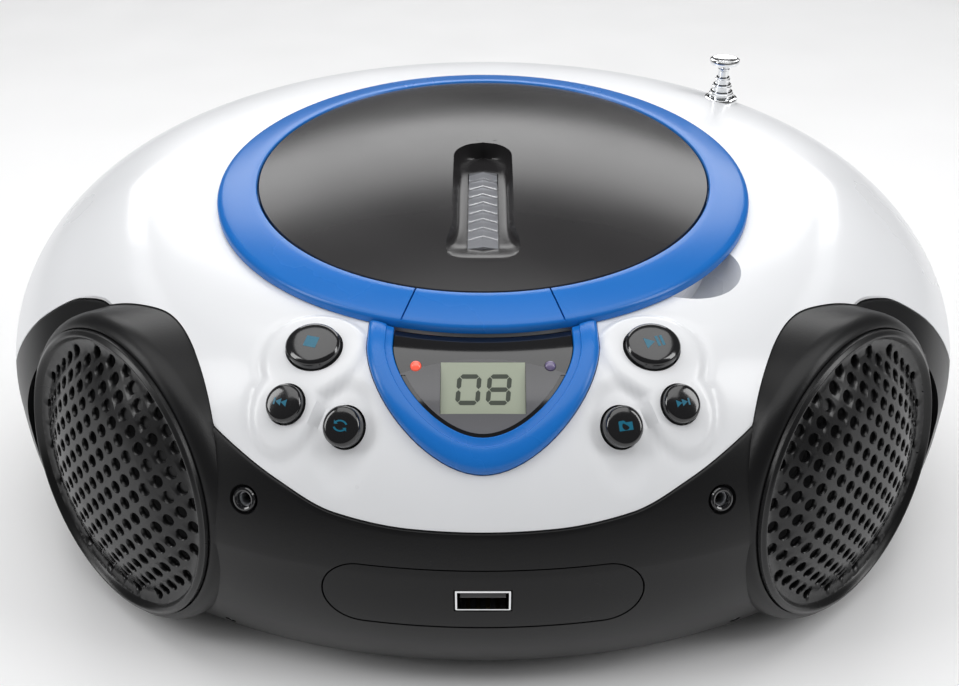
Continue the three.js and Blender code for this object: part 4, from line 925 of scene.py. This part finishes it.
def symbol_outlines(name):
    """Flat outlines of a button's symbol, in millimetres about its middle."""
    def arrow(x, size, way):
        return [(x - way * size / 2, size * 0.62), (x - way * size / 2, -size * 0.62), (x + way * size / 2, 0)]

    def bar(x, height, half=0.22):
        return [(x - half, -height), (x + half, -height), (x + half, height), (x - half, height)]
    if name == "stop":
        return [[(-1.25, -1.15), (1.25, -1.15), (1.25, 1.15), (-1.25, 1.15)]]
    if name == "play":
        return [arrow(-0.95, 1.9, 1), bar(0.6, 1.1, 0.28), bar(1.5, 1.1, 0.28)]
    if name == "previous":
        return [bar(-1.95, 0.85), arrow(-0.95, 1.45, -1), arrow(0.5, 1.45, -1), arrow(1.95, 1.45, -1)][:3]
    if name == "next":
        return [arrow(-1.3, 1.45, 1), arrow(0.15, 1.45, 1), bar(1.2, 0.85)]
    if name == "folder":
        return [[(-1.7, -1.15), (1.7, -1.15), (1.7, 0.8), (0.1, 0.8), (-0.3, 1.25), (-1.5, 1.25), (-1.7, 1.0)]]
    turns = []
    for start in (0, math.pi):
        outline = []
        for radius, order in ((1.65, 1), (1.2, -1)):
            angles = [start + 0.35 + 2.05 * k / 10 for k in range(11)]
            outline += [(radius * math.cos(a) * 1.1, radius * math.sin(a) * 0.85) for a in angles[::order]]
        turns.append(outline)
        tip = start + 0.35 + 2.05 + 0.5
        root = start + 0.35 + 2.05
        turns.append([(2.1 * math.cos(root) * 1.1, 2.1 * math.sin(root) * 0.85),
                      (0.75 * math.cos(root) * 1.1, 0.75 * math.sin(root) * 0.85),
                      (1.45 * math.cos(tip) * 1.1, 1.45 * math.sin(tip) * 0.85)])
    return turns


def build_buttons():
    for name, x, y, half_x, half_y in BUTTONS:
        place = plan_frame(x, y)
        under = -WALL - 1.1
        reaches = [1 - (1 - k / 24) ** 2 for k in range(25)]
        top = [(r, button_top(r)) for r in reversed(reaches)]
        profile = [(0, under - 1.2), (0.35, under - 1.2), (0.35, under), (1, under)] + top
        bm = lathe(profile, 72)
        bmesh.ops.scale(bm, vec=(half_x, half_y, 1), verts=bm.verts)
        bmesh.ops.transform(bm, matrix=place, verts=bm.verts)
        flange = prism(oval(half_x + 1.2, half_y + 1.2), under - 1.2, under + 0.02, place)
        stem = rod(1.5, under - 3.2, under - 1.1, place, 24)
        bm = combine(bm, [flange, stem], "UNION")
        add_piece(bm, f"{name}_button_cap", "button", f"{name}_button", [f"{name}_button"])
        shapes = []
        size = 1.25 if name in ("stop", "play") else 0.95
        for outline in symbol_outlines(name):
            shape = prism([(u * size, v * size) for u, v in outline], 1.5, 3)
            for vert in shape.verts:
                if vert.co.z > 2:
                    reach = math.hypot(vert.co.x / half_x, vert.co.y / half_y)
                    vert.co.z = button_top(reach) + 0.05
            shapes.append(shape)
        symbol = join(*shapes)
        bmesh.ops.transform(symbol, matrix=place, verts=symbol.verts)
        add_piece(symbol, f"{name}_symbol", "symbol", f"{name}_button")


# ---- Front sockets ----
def build_front_sockets():
    panel = combine(panel_prism(-0.1), [casing_solid(0.1)], "INTERSECT")
    panel = combine(panel, [casing_solid(1.4), usb_hole(0.25)])
    add_piece(panel, "usb_oval_panel", "panel_black", "cabinet", ["usb_panel"])
    front, depth, wall = -HALF_DEPTH + 0.25, 14.5, 0.55
    half_x, half_z = USB_HALF
    low, high = PANEL_Z - half_z, PANEL_Z + half_z
    shell = block(-half_x, half_x, front, front + depth, low, high, None, 0.4)
    inside = block(-half_x + wall, half_x - wall, front - 1, front + depth - 2, low + wall, high - wall)
    slots = [block(x - 1.2, x + 1.2, front + 2.2, front + 6, high - 1, high + 1) for x in (-3, 3)]
    shell = combine(shell, [inside, *slots])
    add_piece(shell, "usb_metal_shell", "chrome", "cabinet", ["usb_socket"])
    tongue = block(-half_x + 1.2, half_x - 1.2, front + 0.9, front + depth - 2.2, PANEL_Z + 0.1, PANEL_Z + 1.9, None, 0.2)
    add_piece(tongue, "usb_tongue", "dark", "cabinet")
    contacts = join(*(block(x - 0.5, x + 0.5, front + 1.6, front + 8, PANEL_Z - 0.05, PANEL_Z + 0.12)
                      for x in (-3.5, -1.2, 1.2, 3.5)))
    add_piece(contacts, "usb_contacts", "gold", "cabinet")
    for side, name in ((-1, "headphone_jack"), (1, "aux_jack")):
        place = jack_frame(side)
        profile = [(1.75, -11), (1.75, -0.35), (1.95, 0.0), (2.3, 0.15), (2.7, 0.05), (2.95, -0.3), (2.95, -3.3),
                   (4.4, -3.3), (4.4, -13), (0, -13), (0, -11), (1.75, -11)]
        add_piece(lathe(profile, 64, place), name + "_barrel", "gloss", "cabinet", [name])
        ring = lathe([(1.3, -4.2), (1.74, -4.2), (1.74, -1.2), (1.5, -1.2), (1.3, -1.6), (1.3, -4.2)], 48, place)
        add_piece(ring, name + "_contact", "steel", "cabinet")


# ---- Antenna ----
def build_antenna():
    place = Matrix.Translation((*ANTENNA_PLACE, 0))
    top = surface(*ANTENNA_PLACE)[0].z
    bushing = [(4.35, top - 7.6), (5, top - 7.6), (5, top - 0.4), (5.6, top - 0.4), (5.6, top + 0.5), (5.4, top + 0.95),
               (4.95, top + 1.15), (4.55, top + 1.1), (4.35, top + 0.8), (4.35, top - 7.6)]
    add_piece(lathe(bushing, 64, place), "antenna_collar", "chrome", "cabinet", ["antenna_bushing"])
    names = (("antenna_outer_tube", "cabinet"), ("antenna_section_two", "antenna_two"),
             ("antenna_section_three", "antenna_three"))
    for step, (name, body) in enumerate(names):
        radius = 4 - 0.75 * step
        inner = radius - 0.42
        low, high = 16 + 2 * step, top + 3.2 + 2.4 * step
        profile = [(inner, low), (radius, low), (radius, high - 2.0), (radius - 0.25, high - 1.85),
                   (radius - 0.25, high - 1.5), (radius, high - 1.35), (radius, high - 0.75),
                   (radius - 0.25, high - 0.6), (radius - 0.2, high - 0.3), (radius - 0.3, high), (inner, high),
                   (inner, low)]
        add_piece(lathe(profile, 48, place), name + "_tube", "chrome", body, [name])
    tip = top + 14.2
    profile = [(0, 22), (1.75, 22), (1.75, tip - 4.2), (1.95, tip - 3.9), (1.95, tip - 3.5), (1.75, tip - 3.3),
               (2.1, tip - 2.7), (3.0, tip - 2.25), (4.2, tip - 2.0), (4.8, tip - 1.75), (5.0, tip - 1.35),
               (5.0, tip - 0.7), (4.85, tip - 0.25), (4.5, tip - 0.02), (4.1, tip), (3.6, tip - 0.2), (0, tip - 0.45)]
    add_piece(lathe(profile, 64, place), "antenna_tip", "chrome", "antenna_tip", ["antenna_tip_rod"])


# ---- Finishes ----
def socket(node, name, value):
    node.inputs[name].default_value = value


def new_finish(name, colour, roughness, metallic=0.0, coat=0.0, specular=0.5):
    material = bpy.data.materials.new(name)
    material.use_nodes = True
    shader = material.node_tree.nodes["Principled BSDF"]
    socket(shader, "Base Color", (*colour, 1))
    socket(shader, "Roughness", roughness)
    socket(shader, "Metallic", metallic)
    socket(shader, "Coat Weight", coat)
    socket(shader, "Specular IOR Level", specular)
    socket(shader, "Coat Roughness", 0.08)
    return material, shader


def vary(material, shader, colour, roughness, patch=18.0, grain=0.0, grain_size=1500.0, shift=0.06, uneven=0.04):
    """Uneven tone and gloss over the surface, and a fine grain in it."""
    tree = material.node_tree
    where = tree.nodes.new("ShaderNodeTexCoord")
    clouds = tree.nodes.new("ShaderNodeTexNoise")
    socket(clouds, "Scale", patch)
    socket(clouds, "Detail", 5.0)
    tree.links.new(where.outputs["Object"], clouds.inputs["Vector"])
    tones = tree.nodes.new("ShaderNodeValToRGB")
    tones.color_ramp.elements[0].position = 0.3
    tones.color_ramp.elements[1].position = 0.7
    tones.color_ramp.elements[0].color = (*[c * (1 - shift) for c in colour], 1)
    tones.color_ramp.elements[1].color = (*[min(c * (1 + shift), 1) for c in colour], 1)
    tree.links.new(clouds.outputs["Fac"], tones.inputs["Fac"])
    tree.links.new(tones.outputs["Color"], shader.inputs["Base Color"])
    gloss = tree.nodes.new("ShaderNodeMapRange")
    socket(gloss, "From Min", 0.3)
    socket(gloss, "From Max", 0.7)
    socket(gloss, "To Min", max(roughness - uneven, 0.02))
    socket(gloss, "To Max", roughness + uneven)
    tree.links.new(clouds.outputs["Fac"], gloss.inputs["Value"])
    tree.links.new(gloss.outputs["Result"], shader.inputs["Roughness"])
    if grain:
        fine = tree.nodes.new("ShaderNodeTexNoise")
        socket(fine, "Scale", grain_size)
        socket(fine, "Detail", 2.0)
        tree.links.new(where.outputs["Object"], fine.inputs["Vector"])
        bump = tree.nodes.new("ShaderNodeBump")
        socket(bump, "Strength", grain)
        socket(bump, "Distance", 0.0002)
        tree.links.new(fine.outputs["Fac"], bump.inputs["Height"])
        tree.links.new(bump.outputs["Normal"], shader.inputs["Normal"])


FINISHES = {
    "white": dict(colour=(0.80, 0.81, 0.83), roughness=0.30, coat=0.15, grain=0.04, shift=0.012),
    "blue": dict(colour=(0.009, 0.152, 0.53), roughness=0.26, specular=0.35, grain=0.03, shift=0.04),
    "black": dict(colour=(0.006, 0.006, 0.0065), roughness=0.34, specular=0.28, grain=0.12, grain_size=2600.0,
                  shift=0.12),
    "grille": dict(colour=(0.007, 0.007, 0.0075), roughness=0.27, specular=0.4, grain=0.06, shift=0.1),
    "panel_black": dict(colour=(0.005, 0.005, 0.0055), roughness=0.26, specular=0.25, grain=0.05, shift=0.1),
    "lid_dark": dict(colour=(0.022, 0.021, 0.022), roughness=0.24, specular=0.45, grain=0.02, shift=0.05),
    "dark": dict(colour=(0.02, 0.02, 0.022), roughness=0.42, grain=0.1, shift=0.08),
    "gloss": dict(colour=(0.006, 0.006, 0.007), roughness=0.1, coat=0.6, shift=0.1, uneven=0.02),
    "button": dict(colour=(0.007, 0.007, 0.008), roughness=0.14, coat=0.6, shift=0.1, uneven=0.02),
    "symbol": dict(colour=(0.006, 0.13, 0.21), roughness=0.3, shift=0.05),
    "chrome": dict(colour=(0.86, 0.87, 0.88), roughness=0.09, metallic=1.0, shift=0.02, uneven=0.02),
    "steel": dict(colour=(0.52, 0.53, 0.55), roughness=0.34, metallic=0.95, grain=0.1, shift=0.08),
    "gold": dict(colour=(0.83, 0.62, 0.28), roughness=0.22, metallic=1.0, shift=0.05),
    "board": dict(colour=(0.02, 0.13, 0.05), roughness=0.45, grain=0.2, patch=160.0, shift=0.35),
    "rubber": dict(colour=(0.014, 0.014, 0.014), roughness=0.8, grain=0.4, shift=0.1),
    "paper": dict(colour=(0.016, 0.016, 0.017), roughness=0.85, grain=0.6, grain_size=900.0, shift=0.2),
    "lcd": dict(colour=(0.30, 0.335, 0.25), roughness=0.22, coat=0.4, shift=0.03),
    "lcd_ink": dict(colour=(0.035, 0.045, 0.03), roughness=0.4, shift=0.05),
    "lamp_red": dict(colour=(0.75, 0.10, 0.07), roughness=0.2, coat=0.5, shift=0.05),
    "lamp_violet": dict(colour=(0.16, 0.13, 0.24), roughness=0.2, coat=0.5, shift=0.05),
    "inner_white": dict(colour=(0.72, 0.73, 0.74), roughness=0.4, grain=0.05, shift=0.03),
    "floor": dict(colour=(0.90, 0.90, 0.905), roughness=0.35, shift=0.005, uneven=0.02),
}


def make_finishes():
    for name, look in FINISHES.items():
        material, shader = new_finish("player_" + name, look["colour"], look["roughness"], look.get("metallic", 0.0),
                                      look.get("coat", 0.0), look.get("specular", 0.5))
        extra = {k: v for k, v in look.items() if k not in ("metallic", "coat", "specular")}
        vary(material, shader, **extra)
        MATERIALS[name] = material
    socket(MATERIALS["lamp_red"].node_tree.nodes["Principled BSDF"], "Emission Color", (1, 0.12, 0.06, 1))
    socket(MATERIALS["lamp_red"].node_tree.nodes["Principled BSDF"], "Emission Strength", 0.5)
    crystal, shader = new_finish("player_crystal", (0.42, 0.43, 0.46), 0.06, 0.0, 0.5)
    vary(crystal, shader, (0.42, 0.43, 0.46), 0.07, uneven=0.02, shift=0.1)
    socket(shader, "Transmission Weight", 0.5)
    socket(shader, "IOR", 1.5)
    MATERIALS["crystal"] = crystal
    MATERIALS["panel_grey"] = graded_panel()


def graded_panel():
    """The display's lower panel: dark above, paler towards its lower edge."""
    material, shader = new_finish("player_panel_grey", (0.05, 0.05, 0.055), 0.25, 0.0, 0.3)
    tree = material.node_tree
    where = tree.nodes.new("ShaderNodeTexCoord")
    split = tree.nodes.new("ShaderNodeSeparateXYZ")
    tree.links.new(where.outputs["Object"], split.inputs["Vector"])
    span = tree.nodes.new("ShaderNodeMapRange")
    socket(span, "From Min", 0.0745)
    socket(span, "From Max", 0.0875)
    tree.links.new(split.outputs["Z"], span.inputs["Value"])
    tones = tree.nodes.new("ShaderNodeValToRGB")
    tones.color_ramp.elements[0].color = (0.16, 0.16, 0.17, 1)
    tones.color_ramp.elements[1].color = (0.03, 0.03, 0.032, 1)
    tree.links.new(span.outputs["Result"], tones.inputs["Fac"])
    tree.links.new(tones.outputs["Color"], shader.inputs["Base Color"])
    fine = tree.nodes.new("ShaderNodeTexNoise")
    socket(fine, "Scale", 1800.0)
    tree.links.new(where.outputs["Object"], fine.inputs["Vector"])
    gloss = tree.nodes.new("ShaderNodeMapRange")
    socket(gloss, "To Min", 0.2)
    socket(gloss, "To Max", 0.3)
    tree.links.new(fine.outputs["Fac"], gloss.inputs["Value"])
    tree.links.new(gloss.outputs["Result"], shader.inputs["Roughness"])
    return material


SLOT_FINISH = {
    "white_plastic": "inner_white", "blue_plastic": "blue", "black_plastic": "dark", "dark_plastic": "dark",
    "dark_gloss": "gloss", "tinted_lens": "gloss", "clear_plastic": "inner_white", "lcd": "lcd",
    "red_led": "lamp_red", "violet_led": "lamp_violet", "chrome": "chrome", "steel": "steel",
    "circuit_board": "board", "rubber": "rubber", "cone_paper": "paper",
}


def paint_frame_nodes():
    """Gives each frame node that stays visible the finish of its slot."""
    for entry in frame["record"]["subparts"]:
        node = frame["nodes"].get(entry["node"])
        if node is None or node.hide_render:
            continue
        material = MATERIALS[SLOT_FINISH.get(entry.get("material_slot"), "dark")]
        if not node.data.materials:
            node.data.materials.append(material)
        for index in range(len(node.data.materials)):
            node.data.materials[index] = material


# ---- Stage ----
def area_lamp(name, place, aim, size, power, colour=(1, 1, 1)):
    data = bpy.data.lights.new(name, "AREA")
    data.shape = "RECTANGLE"
    data.size, data.size_y = size
    data.energy = power
    data.color = colour
    lamp = bpy.data.objects.new(name, data)
    bpy.context.scene.collection.objects.link(lamp)
    lamp.location = place
    lamp.rotation_euler = (Vector(aim) - Vector(place)).to_track_quat("-Z", "Y").to_euler()


def build_stage():
    bm = bmesh.new()
    bmesh.ops.create_grid(bm, x_segments=1, y_segments=1, size=4000)
    bmesh.ops.scale(bm, vec=(MM, MM, MM), verts=bm.verts)
    floor = holder(bm, "floor")
    floor.data.materials.append(MATERIALS["floor"])
    area_lamp("top_light", (0, -0.1, 1.3), (0, 0, 0.05), (1.6, 1.2), 12.5)
    area_lamp("left_light", (-1.0, -0.3, 0.7), (0, 0, 0.05), (0.35, 0.8), 5)
    area_lamp("right_light", (1.0, -0.3, 0.7), (0, 0, 0.05), (0.35, 0.8), 5)
    area_lamp("back_light", (0, 1.3, 0.9), (0, 0, 0.08), (1.8, 0.6), 10)
    bpy.context.scene.view_settings.view_transform = "Standard"
    world = bpy.data.worlds.new("studio")
    bpy.context.scene.world = world
    world.use_nodes = True
    socket(world.node_tree.nodes["Background"], "Color", (1, 1, 1, 1))
    socket(world.node_tree.nodes["Background"], "Strength", 0.12)
    data = bpy.data.cameras.new("front_camera")
    data.lens = 40.915
    data.sensor_width = 36
    data.shift_x = -0.00365
    data.clip_start = 0.01
    camera = bpy.data.objects.new("front_camera", data)
    bpy.context.scene.collection.objects.link(camera)
    camera.location = (0, -0.302408, 0.217591)
    camera.rotation_euler = ((90 - 31.02) * DEG, 0, 0)
    bpy.context.scene.camera = camera


# ---- Add-on ----
class PlayerSettings(bpy.types.PropertyGroup):
    """Colours that change the player's look."""
    casing_colour: bpy.props.FloatVectorProperty(
        name="Casing colour", description="Colour of the upper casing", subtype="COLOR", size=3, min=0, max=1,
        default=FINISHES["white"]["colour"])
    ring_colour: bpy.props.FloatVectorProperty(
        name="Ring colour", description="Colour of the lid's ring and the display's frame", subtype="COLOR", size=3,
        min=0, max=1, default=FINISHES["blue"]["colour"])
    base_colour: bpy.props.FloatVectorProperty(
        name="Base colour", description="Colour of the lower casing", subtype="COLOR", size=3, min=0, max=1,
        default=FINISHES["black"]["colour"])


class PlayerStep(bpy.types.Operator):
    """Builds one group of the player's pieces"""
    bl_idname = "player.step"
    bl_label = "Player step"
    bl_options = {"REGISTER", "UNDO"}
    work = ()

    def execute(self, context):
        for build in self.work:
            build()
        return {"FINISHED"}


class PLAYER_OT_finishes(PlayerStep):
    """Makes the finishes from the chosen colours"""
    bl_idname = "player.finishes"
    bl_label = "Finishes"

    def execute(self, context):
        settings = context.scene.player_settings
        FINISHES["white"]["colour"] = tuple(settings.casing_colour)
        FINISHES["blue"]["colour"] = tuple(settings.ring_colour)
        FINISHES["black"]["colour"] = tuple(settings.base_colour)
        make_finishes()
        return {"FINISHED"}


class PLAYER_OT_casing(PlayerStep):
    """Builds the upper and lower casing"""
    bl_idname = "player.casing"
    bl_label = "Casing"
    work = (build_upper_casing, build_lower_casing)


class PLAYER_OT_grilles(PlayerStep):
    """Builds the two perforated speaker grilles"""
    bl_idname = "player.grilles"
    bl_label = "Speaker grilles"
    work = (build_grilles,)


class PLAYER_OT_lid(PlayerStep):
    """Builds the lid's ring, its dark plate and its cut window"""
    bl_idname = "player.lid"
    bl_label = "Lid"
    work = (build_lid_ring, build_lid_plate)


class PLAYER_OT_display(PlayerStep):
    """Builds the display with its frame, lens, screen and lamps"""
    bl_idname = "player.display"
    bl_label = "Display"
    work = (build_bezel, build_display)


class PLAYER_OT_buttons(PlayerStep):
    """Builds the six press buttons and their symbols"""
    bl_idname = "player.buttons"
    bl_label = "Buttons"
    work = (build_buttons,)


class PLAYER_OT_front_sockets(PlayerStep):
    """Builds the oval panel, the USB socket and the two jacks"""
    bl_idname = "player.front_sockets"
    bl_label = "Front sockets"
    work = (build_front_sockets,)


class PLAYER_OT_antenna(PlayerStep):
    """Builds the telescopic antenna and its collar"""
    bl_idname = "player.antenna"
    bl_label = "Antenna"
    work = (build_antenna,)


class PLAYER_OT_frame_nodes(PlayerStep):
    """Paints the frame nodes that stay visible"""
    bl_idname = "player.frame_nodes"
    bl_label = "Frame nodes"
    work = (paint_frame_nodes,)


class PLAYER_OT_stage(PlayerStep):
    """Sets the floor, the lights and the camera"""
    bl_idname = "player.stage"
    bl_label = "Stage"
    work = (build_stage,)


STEPS = (PLAYER_OT_finishes, PLAYER_OT_casing, PLAYER_OT_grilles, PLAYER_OT_lid, PLAYER_OT_display,
         PLAYER_OT_buttons, PLAYER_OT_front_sockets, PLAYER_OT_antenna, PLAYER_OT_frame_nodes, PLAYER_OT_stage)


class PLAYER_PT_panel(bpy.types.Panel):
    """Lists the player's settings and steps"""
    bl_idname = "PLAYER_PT_panel"
    bl_label = "Portable disc player"
    bl_space_type = "VIEW_3D"
    bl_region_type = "UI"
    bl_category = "Player"

    def draw(self, context):
        for name in ("casing_colour", "ring_colour", "base_colour"):
            self.layout.prop(context.scene.player_settings, name)
        for step in STEPS:
            self.layout.operator(step.bl_idname)


def register():
    for item in (PlayerSettings, *STEPS, PLAYER_PT_panel):
        bpy.utils.register_class(item)
    bpy.types.Scene.player_settings = bpy.props.PointerProperty(type=PlayerSettings)


def unregister():
    del bpy.types.Scene.player_settings
    for item in reversed((PlayerSettings, *STEPS, PLAYER_PT_panel)):
        bpy.utils.unregister_class(item)


def main():
    register()
    for step in STEPS:
        getattr(bpy.ops.player, step.bl_idname.split(".")[1])()


if __name__ == "__main__":
    main()
